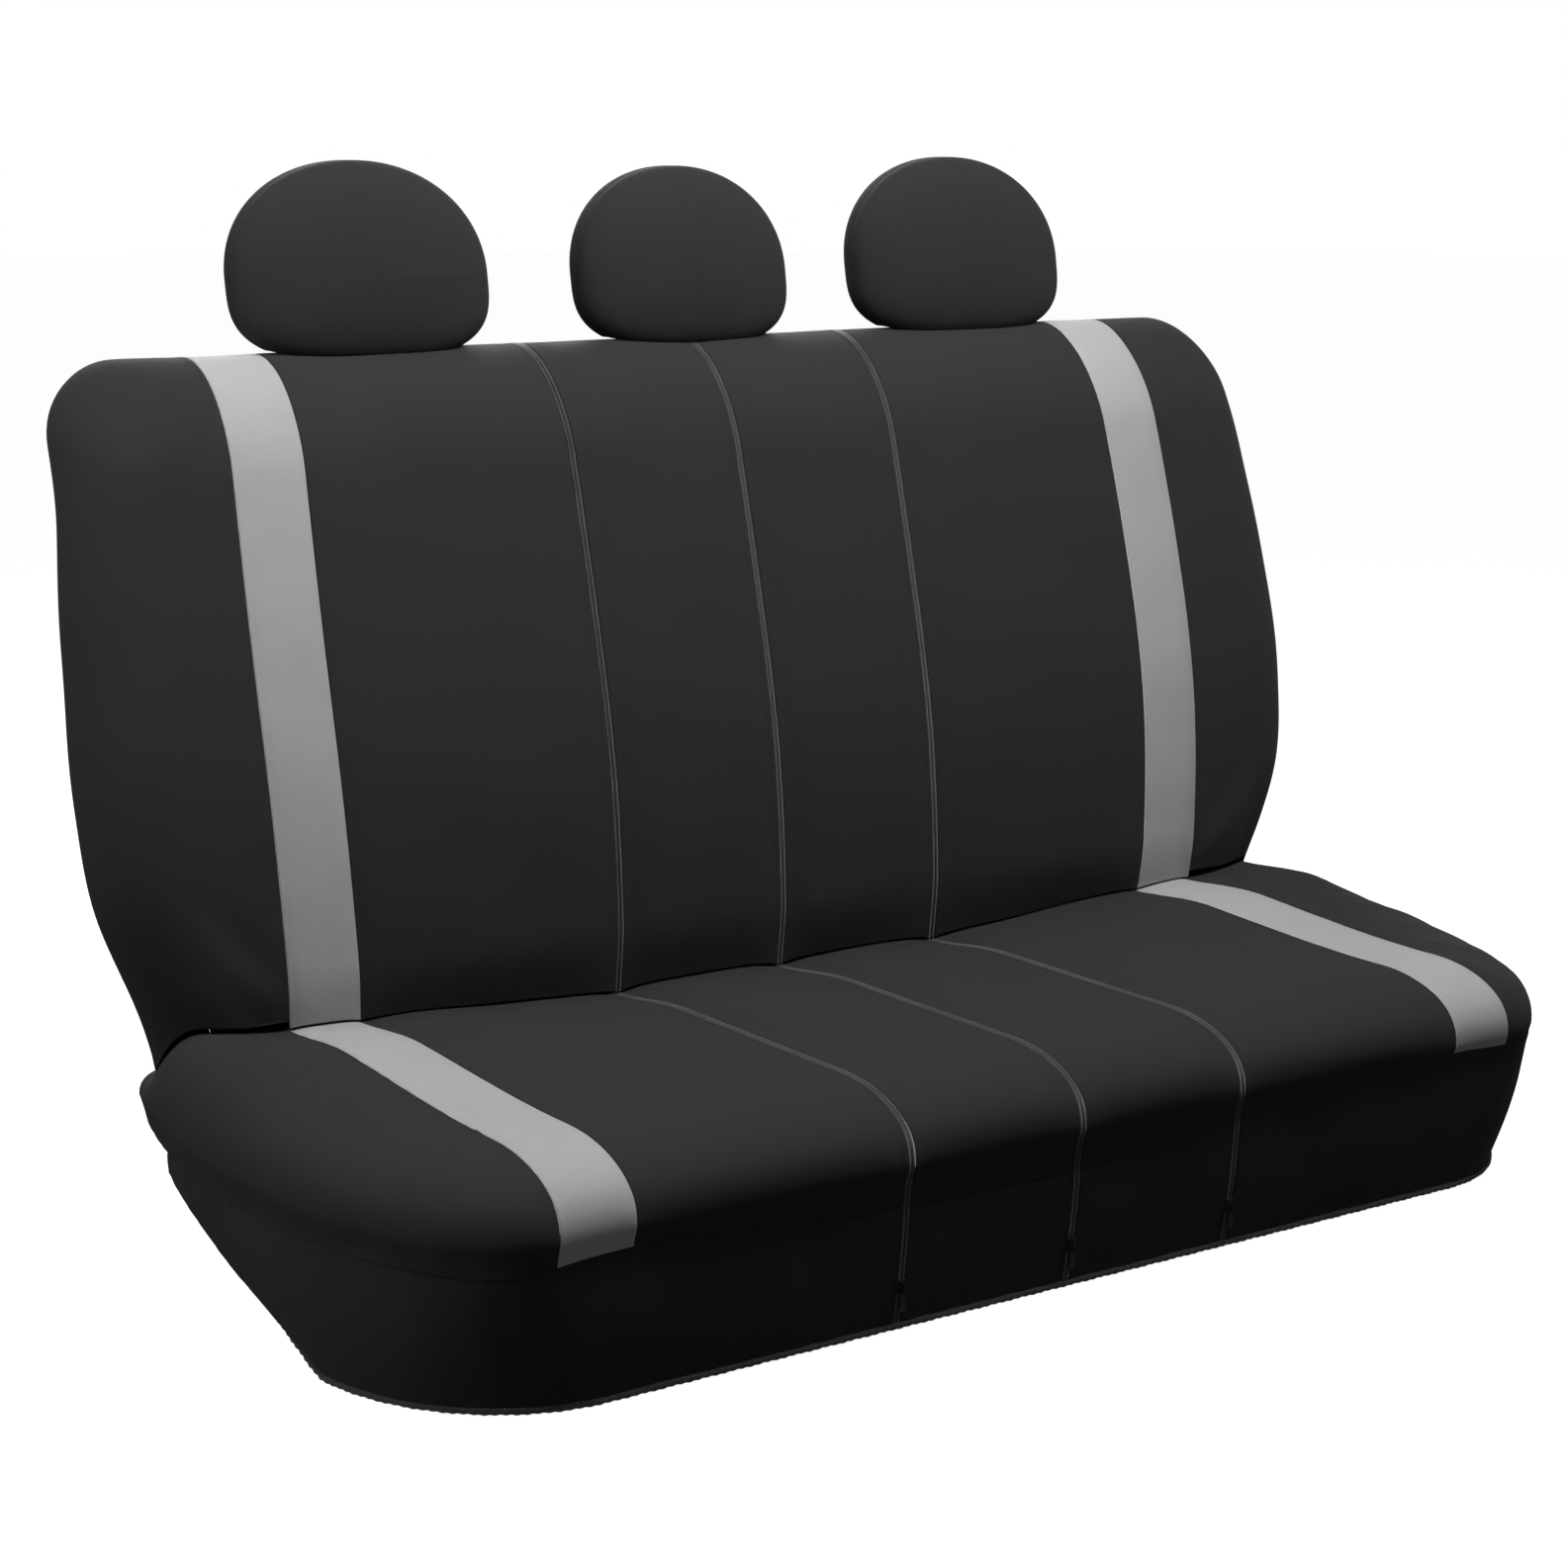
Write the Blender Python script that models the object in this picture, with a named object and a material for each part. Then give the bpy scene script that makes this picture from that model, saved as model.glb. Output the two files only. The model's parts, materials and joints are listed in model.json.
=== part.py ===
"""Rear bench seat cover set, standing in the shape it has on the bench.

Three zip-joined back covers, one cushion cover and three headrest covers, each
sewn from panels of foam-backed cloth.  Metres, +Z up, the front faces -Y.  The
geometry is worked out from the crease, the line X = 0, Y = 0 where the back
meets the cushion, and CREASE_Y moves it to the middle of the object's base.
"""
import math

import bmesh
import bpy
from mathutils import Vector

# Frame and cloth
CREASE_Y = 0.11960
CLOTH = 0.003
GAP = 0.0003
SEAM_GAP = GAP / 2

# Seams across the width, as distances from the middle
SPLIT_X = 0.185
STRIPE_IN = 0.455
STRIPE_OUT = 0.525
ZIP_HALF = 0.0035
ZIP_SINK = 0.001
ZIP_CLOTH = 0.002

# Cushion cover
CUSHION_EDGE_X = 0.662
CUSHION_FRONT = 0.465
CUSHION_REAR = 0.100
CUSHION_TOP = 0.209
CUSHION_EDGE_Z = 0.150
CUSHION_ROUND = 0.100
CUSHION_CORNER = (0.135, 0.260)
CUSHION_INNER_CORNER = (0.030, 0.130)
REAR_TIGHTENING = 0.45
REAR_DRAW_IN = 0.038
CUSHION_CROWN = 0.005
SEAM_Z = 0.131
SEAM_TUCK = 0.006
SKIRT_TOP = SEAM_Z - 0.0010
HEM_X = 0.636
HEM_FRONT = 0.443
HEM_CORNER = (0.165, 0.190)
HEM_RISE_FROM = -0.270
HEM_RISE = 0.39
HEM_R = 0.003
SKIRT_REAR = 0.0
REAR_PANEL_X = 0.500

# Back covers
BACK_EDGE_X = 0.664
BACK_TOP = 0.797
BACK_CORNER = 0.070
BACK_FRONT_ROUND = 0.100
BACK_REAR_ROUND = 0.045
REAR_SEAM_INSET = 0.057
BACK_CROWN = 0.006
BACK_SIDE_LINE = ((0.15, 0.624), (0.22, 0.638), (0.33, 0.674), (0.42, 0.681),
                  (0.55, 0.676), (0.70, 0.667), (0.80, 0.664))
SIDE_FRONT_ROUND = 0.070
SIDE_REAR_ROUND = 0.070
SIDE_REAR_POWER = 1.2
SIDE_FORWARD = 0.15
STRIPE_BOW = 0.010
BACK_FRONT_LINE = ((0.15, 0.000), (0.205, -0.006), (0.27, -0.012), (0.42, 0.000), (0.58, 0.034), (0.83, 0.100))
BACK_REAR_FOOT = (0.112, 0.115)
BACK_REAR_HEAD = (0.218, 0.700)
BACK_CLEAR = 0.006
BACK_SIDE_DROP = 0.026
BACK_REAR_CHAMFER = 0.040
FLAP_INSET = 0.007
FLAP_BOTTOM = 0.222
FOLD_PIVOT = (0.0, 0.240)

# Headrest covers
HEADREST_Y = 0.165
HEADREST_BASE = 0.7990
HEADREST_CUT = 0.012
HEADREST_DEPTH = 0.080
HEADREST_RIM = 0.006
HEADREST_LEAN = math.radians(9)
HEADREST_DROOP = 8.4
DROOP_HEIGHT = 0.040
HEADREST_SIZES = {
    "left": (-0.344, 0.261, 0.182),
    "centre": (0.0, 0.238, 0.175),
    "right": (0.344, 0.261, 0.182),
}

# Zip sliders and pull tabs
SLIDER_WIDTH = 0.0090
SLIDER_LENGTH = 0.0130
SLIDER_THICK = 0.0026
ARCH_WIDTH = 0.0022
ARCH_LENGTH = 0.0070
ARCH_HEIGHT = 0.0036
ARCH_WALL = 0.0012
PULL_WIDTH = 0.0060
PULL_LENGTH = 0.0220
PULL_THICK = 0.0011
PULL_BAR = 0.0011
PULL_SLOT_WIDTH = 0.0032
PULL_SLOT_LENGTH = 0.0056
BACK_SLIDER_X = SPLIT_X - SLIDER_WIDTH / 2 - GAP
CUSHION_SLIDER_Z = 0.042
BACK_SLIDER_Z = 0.200

# Straps under the cushion
STRAP_X = 0.320
STRAP_WIDTH = 0.025
STRAP_THICK = 0.002
STRAP_Z = 0.012
HOOK_WIDTH = 0.020
HOOK_WALL = 0.004
HOOK_LENGTH = 0.036
HOOK_HEIGHT = 0.020

MATERIALS = {
    "black_cloth": ((0.022, 0.022, 0.023), 0.85),
    "grey_cloth": ((0.33, 0.33, 0.33), 0.85),
    "lining_cloth": ((0.012, 0.012, 0.013), 0.95),
    "zip_tape": ((0.018, 0.018, 0.019), 0.60),
    "zip_metal": ((0.030, 0.030, 0.032), 0.35),
    "elastic": ((0.016, 0.016, 0.016), 0.90),
    "hook_plastic": ((0.025, 0.025, 0.025), 0.45),
}


# ---------------------------------------------------------------- small helpers

def ease(t):
    """Smooth step from 0 to 1."""
    t = min(max(t, 0.0), 1.0)
    return t * t * (3.0 - 2.0 * t)


def spread(low, high, count):
    """count + 1 evenly spaced values from low to high."""
    return [low + (high - low) * k / count for k in range(count + 1)]


def hermite(knots, x):
    """Smooth curve through (x, y) knots, with finite-difference slopes."""
    last = len(knots) - 1
    k = 0
    while k < last - 1 and x > knots[k + 1][0]:
        k += 1
    slopes = []
    for j in (k, k + 1):
        a = knots[max(j - 1, 0)]
        b = knots[min(j + 1, last)]
        slopes.append((b[1] - a[1]) / (b[0] - a[0]))
    (x0, y0), (x1, y1) = knots[k], knots[k + 1]
    h = x1 - x0
    t = (x - x0) / h
    return ((2 * t**3 - 3 * t**2 + 1) * y0 + (t**3 - 2 * t**2 + t) * h * slopes[0]
            + (3 * t**2 - 2 * t**3) * y1 + (t**3 - t**2) * h * slopes[1])


def corner_path(x_edge, w_edge, radii, x_line, w_start, counts):
    """Points up a side at x_edge, round an elliptical corner and in along w_edge to x_line."""
    side, arc, top = counts
    across, along = radii
    points = [(x_edge, w) for w in spread(w_start, w_edge - along, side)]
    for k in range(1, arc + 1):
        turn = math.pi / 2 * k / arc
        points.append((x_edge - across * (1 - math.cos(turn)), w_edge - along * (1 - math.sin(turn))))
    points += [(x, w_edge) for x in spread(x_edge - across, x_line, top)[1:]]
    return points


def line_beside(path, x_line, w_start, w_end):
    """Points along the straight seam at x_line, spaced like the path beside it."""
    lengths = [0.0]
    for a, b in zip(path, path[1:]):
        lengths.append(lengths[-1] + math.dist(a, b))
    return [(x_line, w_start + (w_end - w_start) * length / lengths[-1]) for length in lengths]


# ------------------------------------------------------------- making the pieces

def clear_scene():
    for old in list(bpy.data.objects):
        bpy.data.objects.remove(old, do_unlink=True)


def make_material(name, colour, roughness):
    material = bpy.data.materials.new(name)
    material.use_nodes = True
    material.diffuse_color = (*colour, 1.0)
    shader = material.node_tree.nodes["Principled BSDF"]
    shader.inputs["Base Color"].default_value = (*colour, 1.0)
    shader.inputs["Roughness"].default_value = roughness
    return material


def make_empty(name, y, z, parent=None, x=0.0):
    """An empty on a joint's axis, at a place given from the crease."""
    empty = bpy.data.objects.new(name, None)
    bpy.context.collection.objects.link(empty)
    spot = Vector((x, y + CREASE_Y, z))
    empty["spot"] = spot
    empty.parent = parent
    empty.location = spot - Vector(parent["spot"]) if parent else spot
    return empty


def make_object(name, bm, slot, parent, smooth=True):
    """Turn a bmesh, measured from the crease, into a named object."""
    origin = Vector(parent["spot"])
    bmesh.ops.translate(bm, verts=bm.verts, vec=Vector((0, CREASE_Y, 0)) - origin)
    mesh = bpy.data.meshes.new(name)
    bm.to_mesh(mesh)
    bm.free()
    if smooth:
        mesh.shade_smooth()
        mesh.set_sharp_from_angle(angle=math.radians(40))
    mesh.materials.append(LOOKS[slot])
    piece = bpy.data.objects.new(name, mesh)
    piece.parent = parent
    bpy.context.collection.objects.link(piece)
    return piece


def face_outward(bm, inside):
    """Turn a sheet's faces away from a point inside the hollow it covers."""
    bm.normal_update()
    facing = sum(f.normal.dot(f.calc_center_median() - inside) * f.calc_area() for f in bm.faces)
    if facing < 0:
        bmesh.ops.reverse_faces(bm, faces=bm.faces)


def cloth_piece(name, bm, slot, parent, inside, thickness=CLOTH):
    """A sheet of cloth, thickened towards the hollow it covers."""
    face_outward(bm, Vector(inside))
    piece = make_object(name, bm, slot, parent)
    solidify = piece.modifiers.new("cloth", "SOLIDIFY")
    solidify.thickness = thickness
    solidify.offset = -1
    return piece


def grid(rows):
    """A sheet of quads from rows of points."""
    bm = bmesh.new()
    verts = [[bm.verts.new(p) for p in row] for row in rows]
    for low, high in zip(verts, verts[1:]):
        for k in range(len(low) - 1):
            bm.faces.new((low[k], low[k + 1], high[k + 1], high[k]))
    return bm


def flat_face(points):
    bm = bmesh.new()
    bm.faces.new([bm.verts.new(p) for p in points])
    return bm


def box(bm, low, high):
    """Add a box between two corners."""
    made = bmesh.ops.create_cube(bm, size=1.0)["verts"]
    size = [b - a for a, b in zip(low, high)]
    middle = [(a + b) / 2 for a, b in zip(low, high)]
    bmesh.ops.scale(bm, vec=size, verts=made)
    bmesh.ops.translate(bm, vec=middle, verts=made)


def extrude_outline(bm, outline, width):
    """Add a solid: an outline in the Y-Z plane, extruded width across X."""
    face = bm.faces.new([bm.verts.new((-width / 2, y, z)) for y, z in outline])
    made = bmesh.ops.extrude_face_region(bm, geom=[face])["geom"]
    moved = [v for v in made if isinstance(v, bmesh.types.BMVert)]
    bmesh.ops.translate(bm, vec=(width, 0, 0), verts=moved)
    bmesh.ops.recalc_face_normals(bm, faces=bm.faces)


# ------------------------------------------------------------------ cushion cover

def cushion_height(x, y):
    """Height of the cushion's top face: lower at the crease, higher at its ends."""
    dip = 0.010 * ease((y + 0.12) / 0.12) + 0.028 * ease(y / CUSHION_REAR)
    rise = 0.018 * ease((abs(x) - 0.20) / 0.35) * ease((y + 0.35) / 0.35) * (1 - ease(y / 0.08))
    return CUSHION_TOP - dip + rise


def cushion_levels():
    """(inset, share of the top's height) from the top face down round the edge."""
    levels = []
    for turn in spread(90, 0, 6):
        angle = math.radians(turn)
        levels.append((CUSHION_ROUND * (1 - math.cos(angle)), math.sin(angle)))
    return levels


def cushion_point(x, y, share):
    return (x, y, CUSHION_EDGE_Z + (cushion_height(x, y) - CUSHION_EDGE_Z) * share)


def cushion_profile(x):
    """Points from the skirt seam over the front edge to the rear edge."""
    points = [(x, SEAM_TUCK - CUSHION_FRONT, SEAM_Z + SEAM_GAP)]
    for inset, share in reversed(cushion_levels()):
        points.append(cushion_point(x, inset - CUSHION_FRONT, share))
    flat = spread(CUSHION_ROUND - CUSHION_FRONT, 0, 6)[1:] + spread(0, CUSHION_REAR, 3)[1:]
    points += [cushion_point(x, y, 1.0) for y in flat]
    return points


def sink_points(points, sink):
    """Move a profile's points along its own normal in the Y-Z plane."""
    moved = []
    for k, (x, y, z) in enumerate(points):
        a = points[max(k - 1, 0)]
        b = points[min(k + 1, len(points) - 1)]
        along = Vector((b[1] - a[1], b[2] - a[2])).normalized()
        moved.append((x, y - along.y * sink, z + along.x * sink))
    return moved


def cross_columns(x_low, x_high, count):
    """(x, crown share) across a panel, level with the seams at both sides."""
    middle = (x_low + x_high) / 2
    half = (x_high - x_low) / 2
    columns = []
    for k in range(count + 1):
        u = -math.cos(math.pi * k / count)
        columns.append((middle + half * u, 1 - u**4))
    return columns


def crowned_panel(profile, fade, x_low, x_high, crown, count):
    """A panel that follows a profile and swells between its seams."""
    rows = []
    for x, share in cross_columns(x_low, x_high, count):
        flat = profile(x)
        full = sink_points(flat, crown * share)
        rows.append([Vector(a).lerp(Vector(b), fade(a)) for a, b in zip(flat, full)])
    return grid(rows)


def cushion_fade(point):
    """The cushion's swelling dies out at the skirt seam."""
    return ease((point[2] - SEAM_Z) / 0.05)


def back_fade(point):
    """The back's swelling dies out at the crest, where the headrests sit."""
    crest = back_point(0.0, BACK_TOP, 0.0)
    return ease((crest[1] - point[1]) / 0.07)


def panel_spans():
    """Name, inner and outer X and slot of each panel between two straight seams."""
    zip_edge = ZIP_HALF + GAP
    return (
        ("mid", zip_edge, SPLIT_X - zip_edge, "black_cloth", 4),
        ("main", SPLIT_X + zip_edge, STRIPE_IN - SEAM_GAP, "black_cloth", 4),
        ("stripe", STRIPE_IN + SEAM_GAP, STRIPE_OUT - SEAM_GAP, "grey_cloth", 2),
    )


def signed_spans():
    """Each span on both sides: (side name, sign, span name, low X, high X, slot, count)."""
    spans = []
    for side, sign in (("left", -1), ("right", 1)):
        for name, x_in, x_out, slot, count in panel_spans():
            low, high = sorted((sign * x_in, sign * x_out))
            spans.append((side, sign, name, low, high, slot, count))
    return spans


def draw_in(x, y):
    """How far the cushion's side draws in towards its rear corner."""
    reach = max(0.0, (x - STRIPE_OUT) / (CUSHION_EDGE_X - STRIPE_OUT))
    return REAR_DRAW_IN * reach * max(0.0, (y + 0.13) / 0.23)**2


def cushion_ring(inset):
    """(x, w) round the cushion's end at an inset from its edge; w points to the front.

    The edge's rounding tightens towards the crease.
    """
    share = inset / CUSHION_ROUND
    radii = [outer + (inner - outer) * share for outer, inner in zip(CUSHION_CORNER, CUSHION_INNER_CORNER)]
    x_edge = CUSHION_EDGE_X - inset
    ring = []
    for x, w in corner_path(x_edge, CUSHION_FRONT - inset, radii, STRIPE_OUT + SEAM_GAP, -CUSHION_REAR, (7, 6, 2)):
        reach = (x - STRIPE_OUT) / (x_edge - STRIPE_OUT)
        tighter = REAR_TIGHTENING * inset * ease((0.25 - w) / 0.25) * reach
        ring.append((x + tighter - draw_in(x, -w), w))
    return ring


def seam_ring(x_line, w_start, counts):
    """(x, w) along the seam between the cushion's end and its skirt."""
    radii = [radius - SEAM_TUCK for radius in CUSHION_CORNER]
    path = corner_path(CUSHION_EDGE_X - SEAM_TUCK, CUSHION_FRONT - SEAM_TUCK, radii, x_line, w_start, counts)
    return [(x - draw_in(x, -w), w) for x, w in path]


def cushion_outer(sign):
    """The end of the cushion: the top face, its rounded corner and the side."""
    x_line = STRIPE_OUT + SEAM_GAP
    line = line_beside(cushion_ring(CUSHION_ROUND), x_line, -CUSHION_REAR, CUSHION_FRONT - CUSHION_ROUND - 0.03)
    rows = [[cushion_point(sign * x, -w, 1.0) for x, w in line]]
    for inset, share in cushion_levels():
        rows.append([cushion_point(sign * x, -w, share) for x, w in cushion_ring(inset)])
    seam = seam_ring(x_line, -CUSHION_REAR, (7, 6, 2))
    rows.append([(sign * x, -w, SEAM_Z + SEAM_GAP) for x, w in seam])
    return grid(rows)


def hem_height(y):
    """Height of the skirt's bottom edge, which climbs towards the rear at the sides."""
    return 2 * HEM_R + GAP + max(0.0, HEM_RISE * (y - HEM_RISE_FROM))


def skirt_end(sign, x_line):
    """The skirt from a zip round the front corner and along the side."""
    seam, hem = skirt_paths(x_line)
    rows = []
    for share in spread(0, 1, 2):
        rows.append([(sign * p.x, p.y, p.z) for p in (Vector(a).lerp(b, share) for a, b in zip(seam, hem))])
    return grid(rows)


def skirt_paths(x_line):
    """The skirt's seam and its hem on the right side, from the side's rear end to x_line."""
    counts = (6, 6, 5)
    seam = [Vector((x, -w, SKIRT_TOP)) for x, w in seam_ring(x_line, -SKIRT_REAR, counts)]
    hem = []
    for start, (x, w) in zip(seam, corner_path(HEM_X, HEM_FRONT, HEM_CORNER, x_line, -SKIRT_REAR, counts)):
        low = hem_height(-w)
        reach = (start.z - low) / (start.z - 2 * HEM_R - GAP)
        hem.append(start.lerp(Vector((x, -w, 2 * HEM_R + GAP)), reach))
    return seam, hem


def skirt_profile(x):
    """Points up the front skirt, from the hem to the seam."""
    foot = Vector((x, -HEM_FRONT, hem_height(-HEM_FRONT)))
    top = Vector((x, SEAM_TUCK - CUSHION_FRONT, SKIRT_TOP))
    return [tuple(foot.lerp(top, share)) for share in spread(0, 1, 2)]


def cushion_zip(x_mid):
    """Zip tape from the hem up the skirt, round the front edge and over the top."""
    rows = []
    for x in (x_mid - ZIP_HALF, x_mid + ZIP_HALF):
        points = skirt_profile(x)[:-1] + cushion_profile(x)
        rows.append(sink_points(points, -ZIP_SINK))
    return grid(rows)


def build_cushion(root):
    inside = (0, -0.2, 0.05)
    for side, sign, name, low, high, slot, count in signed_spans():
        crown = CUSHION_CROWN if slot == "black_cloth" else CUSHION_CROWN / 3
        sheet = crowned_panel(cushion_profile, cushion_fade, low, high, crown, count)
        cloth_piece(f"cushion_{name}_{side}", sheet, slot, root, inside)
    for side, sign in (("left", -1), ("right", 1)):
        cloth_piece(f"cushion_outer_{side}", cushion_outer(sign), "black_cloth", root, (sign * 0.4, -0.2, 0.05))
        corner = skirt_end(sign, SPLIT_X + ZIP_HALF + GAP)
        cloth_piece(f"skirt_outer_{side}", corner, "black_cloth", root, (sign * 0.4, -0.2, 0.05))
        low, high = sorted((sign * (ZIP_HALF + GAP), sign * (SPLIT_X - ZIP_HALF - GAP)))
        middle = grid([skirt_profile(x) for x in spread(low, high, 2)])
        cloth_piece(f"skirt_mid_{side}", middle, "black_cloth", root, inside)
    for side, x in (("left", -SPLIT_X), ("centre", 0.0), ("right", SPLIT_X)):
        cloth_piece(f"cushion_zip_{side}", cushion_zip(x), "zip_tape", root, (x, -0.2, 0.05), ZIP_CLOTH)
    build_rear_panel(root)
    build_hem(root)
    for side, sign in (("left", -1), ("right", 1)):
        build_strap(side, sign, root)


def build_rear_panel(root):
    """The flap behind the cushion, which hangs from the top's rear edge to the floor."""
    bm = bmesh.new()
    top = cushion_height(0, CUSHION_REAR) - CLOTH - 4 * GAP
    box(bm, (-REAR_PANEL_X, CUSHION_REAR - CLOTH, 0), (REAR_PANEL_X, CUSHION_REAR, top))
    make_object("cushion_rear_panel", bm, "lining_cloth", root, smooth=False)


def build_hem(root):
    """Elastic in the skirt's hem, from one rear end round the front to the other."""
    _, half = skirt_paths(0.0)
    drop = Vector((0, 0, HEM_R + GAP))
    route = [p - drop for p in half] + [Vector((-p.x, p.y, p.z)) - drop for p in reversed(half[:-1])]
    curve = bpy.data.curves.new("hem_elastic", "CURVE")
    curve.dimensions = "3D"
    curve.bevel_depth = HEM_R
    curve.bevel_resolution = 2
    curve.use_fill_caps = True
    spline = curve.splines.new("POLY")
    spline.points.add(len(route) - 1)
    origin = Vector(root["spot"])
    for point, spot in zip(spline.points, route):
        point.co = (*(spot + Vector((0, CREASE_Y, 0)) - origin), 1.0)
    curve.materials.append(LOOKS["elastic"])
    hem = bpy.data.objects.new("hem_elastic", curve)
    hem.parent = root
    bpy.context.collection.objects.link(hem)


def build_strap(side, sign, root):
    """An elastic strap across the open underside, with a hook on its rear end."""
    x = sign * STRAP_X
    front = -HEM_FRONT + 2 * CLOTH
    rear = 0.045
    bm = bmesh.new()
    box(bm, (x - STRAP_WIDTH / 2, front, STRAP_Z), (x + STRAP_WIDTH / 2, rear, STRAP_Z + STRAP_THICK))
    make_object(f"strap_{side}", bm, "elastic", root, smooth=False)
    foot = rear + GAP
    low = STRAP_Z - HOOK_WALL / 2
    high = low + HOOK_HEIGHT
    end = foot + HOOK_LENGTH
    outline = ((foot, low), (end, low), (end, high), (end - 0.014, high), (end - 0.014, high - HOOK_WALL),
               (end - HOOK_WALL, high - HOOK_WALL), (end - HOOK_WALL, low + HOOK_WALL), (foot, low + HOOK_WALL))
    bm = bmesh.new()
    extrude_outline(bm, outline, HOOK_WIDTH)
    bmesh.ops.translate(bm, vec=(x, 0, 0), verts=bm.verts)
    hook = make_object(f"strap_hook_{side}", bm, "hook_plastic", root, smooth=False)
    bevel = hook.modifiers.new("soft edges", "BEVEL")
    bevel.width = 0.0008
    bevel.segments = 2


# -------------------------------------------------------------------- back covers

def back_front_y(z):
    return hermite(BACK_FRONT_LINE, z)


def back_rear_y(z):
    (y0, z0), (y1, z1) = BACK_REAR_FOOT, BACK_REAR_HEAD
    return y0 + (y1 - y0) * (z - z0) / (z1 - z0)


def back_slope():
    """Unit vector up the rear face."""
    (y0, z0), (y1, z1) = BACK_REAR_FOOT, BACK_REAR_HEAD
    return Vector((0, y1 - y0, z1 - z0)).normalized()


def back_point(x, z, share):
    """A point between the edge line (0) and the front (-1) or rear (+1) face.

    On the ends the edge line lies further forward than on the crest, and on the
    front the stripes bow outwards at half their height.
    """
    front = back_front_y(z)
    rear = back_rear_y(z)
    reach = min(max(0.0, (abs(x) - STRIPE_OUT) / (BACK_EDGE_X - STRIPE_OUT)), 1.0)
    edge = front + (rear - front) * (0.5 - SIDE_FORWARD * reach * ease((BACK_TOP - z) / 0.14))
    face = front if share < 0 else rear
    spread_out = min(max(0.0, (abs(x) - SPLIT_X - ZIP_HALF) / (STRIPE_IN - SPLIT_X)), 1.0)
    arch = math.sin(math.pi * min(max((z - 0.20) / 0.58, 0.0), 1.0))
    bow = STRIPE_BOW * spread_out * arch * ease(1 - share)
    return (x + math.copysign(bow, x), edge + (face - edge) * abs(share), z)


def back_levels():
    """(inset, share) round the edge from the front face to the rear face."""
    levels = []
    for turn in spread(-90, 0, 6) + spread(0, 90, 4)[1:]:
        angle = math.radians(turn)
        radius = BACK_FRONT_ROUND if turn < 0 else BACK_REAR_ROUND
        levels.append((radius * (1 - math.cos(angle)), math.sin(angle)))
    levels.append((REAR_SEAM_INSET - SEAM_GAP, 1.0))
    return levels


def back_bottom(x):
    return cushion_height(x, 0.0) + BACK_CLEAR + CUSHION_CROWN


def back_profile(x, rear_end=BACK_TOP - REAR_SEAM_INSET + SEAM_GAP):
    """Points from the crease up the front, over the crest and down the rear."""
    points = [back_point(x, z, -1) for z in spread(back_bottom(x), BACK_TOP - BACK_FRONT_ROUND, 6)[:-1]]
    points += [back_point(x, BACK_TOP - inset, share) for inset, share in back_levels()[:-1]]
    points.append(back_point(x, rear_end, 1))
    return [tuple(p) for p in points]


def side_levels():
    """(inset, share) round the end's edge: like the crest's, but flatter towards the rear."""
    levels = []
    for inset, share in back_levels():
        if 0 < share < 1:
            turn = math.asin(share)
            inset = BACK_REAR_ROUND * (1 - math.cos(turn)**(2 / SIDE_REAR_POWER))
            share = math.sin(turn)**(2 / SIDE_REAR_POWER)
        levels.append((inset, share))
    return levels


def back_edge_path(inset, share):
    """(x, z) up the side, round the corner and in to the stripe, inset from the edge."""
    radius = BACK_CORNER * (1 - 0.85 * inset / BACK_FRONT_ROUND)
    bottom = back_bottom(BACK_EDGE_X) - BACK_SIDE_DROP * (share + 1)
    x_edge = BACK_EDGE_X - inset
    rounding = SIDE_FRONT_ROUND / BACK_FRONT_ROUND if share < 0 else SIDE_REAR_ROUND / BACK_REAR_ROUND
    path = []
    for x, z in corner_path(x_edge, BACK_TOP - inset, (radius, radius), STRIPE_OUT + SEAM_GAP, bottom, (8, 6, 2)):
        reach = (x - STRIPE_OUT) / (x_edge - STRIPE_OUT)
        wider = hermite(BACK_SIDE_LINE, z) - BACK_EDGE_X + inset * (1 - rounding) * ease((BACK_TOP - z) / 0.12)
        path.append((x + wider * reach, z))
    return path


def back_outer(sign):
    """The end of the back: front face, rounded side and the corner at the crest."""
    inner = back_edge_path(BACK_FRONT_ROUND, -1)
    line = line_beside(inner, STRIPE_OUT + SEAM_GAP, inner[0][1], inner[-1][1] - 0.03)
    rows = [[back_point(sign * x, z, -1) for x, z in line]]
    for crest, side in zip(back_levels(), side_levels()):
        row = []
        for (x, z), (x_side, z_side) in zip(back_edge_path(*crest), back_edge_path(*side)):
            reach = ease((x - STRIPE_OUT) / (BACK_EDGE_X - STRIPE_OUT))
            start = Vector(back_point(sign * x, z, crest[1]))
            row.append(start.lerp(back_point(sign * x_side, z_side, side[1]), reach))
        rows.append(row)
    return grid(rows)


def back_rear_outline(sign, x_in):
    """Outline of a side section's rear panel, which is flat."""
    path = back_edge_path(REAR_SEAM_INSET + SEAM_GAP, 1)
    foot = BACK_REAR_FOOT[1]
    outline = [(path[0][0] - BACK_REAR_CHAMFER, foot), *path, (x_in, path[-1][1]), (x_in, foot)]
    return [back_point(sign * x, z, 1) for x, z in outline]


def back_zip(x_low, x_high):
    """Zip tape from the crease up the front, over the crest and down the rear."""
    rows = [sink_points(back_profile(x, BACK_REAR_FOOT[1]), -ZIP_SINK) for x in (x_low, x_high)]
    return grid(rows)


def side_flap(x):
    """Hook-and-loop flap that closes a section's side: the profile, drawn in."""
    points = sink_points(back_profile(x, FLAP_BOTTOM), -FLAP_INSET)
    outline = [(x, y, z) for _, y, z in points if z > FLAP_BOTTOM]
    outline.append((x, points[-1][1], FLAP_BOTTOM))
    outline.insert(0, (x, outline[0][1], FLAP_BOTTOM))
    return flat_face(outline)


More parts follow.
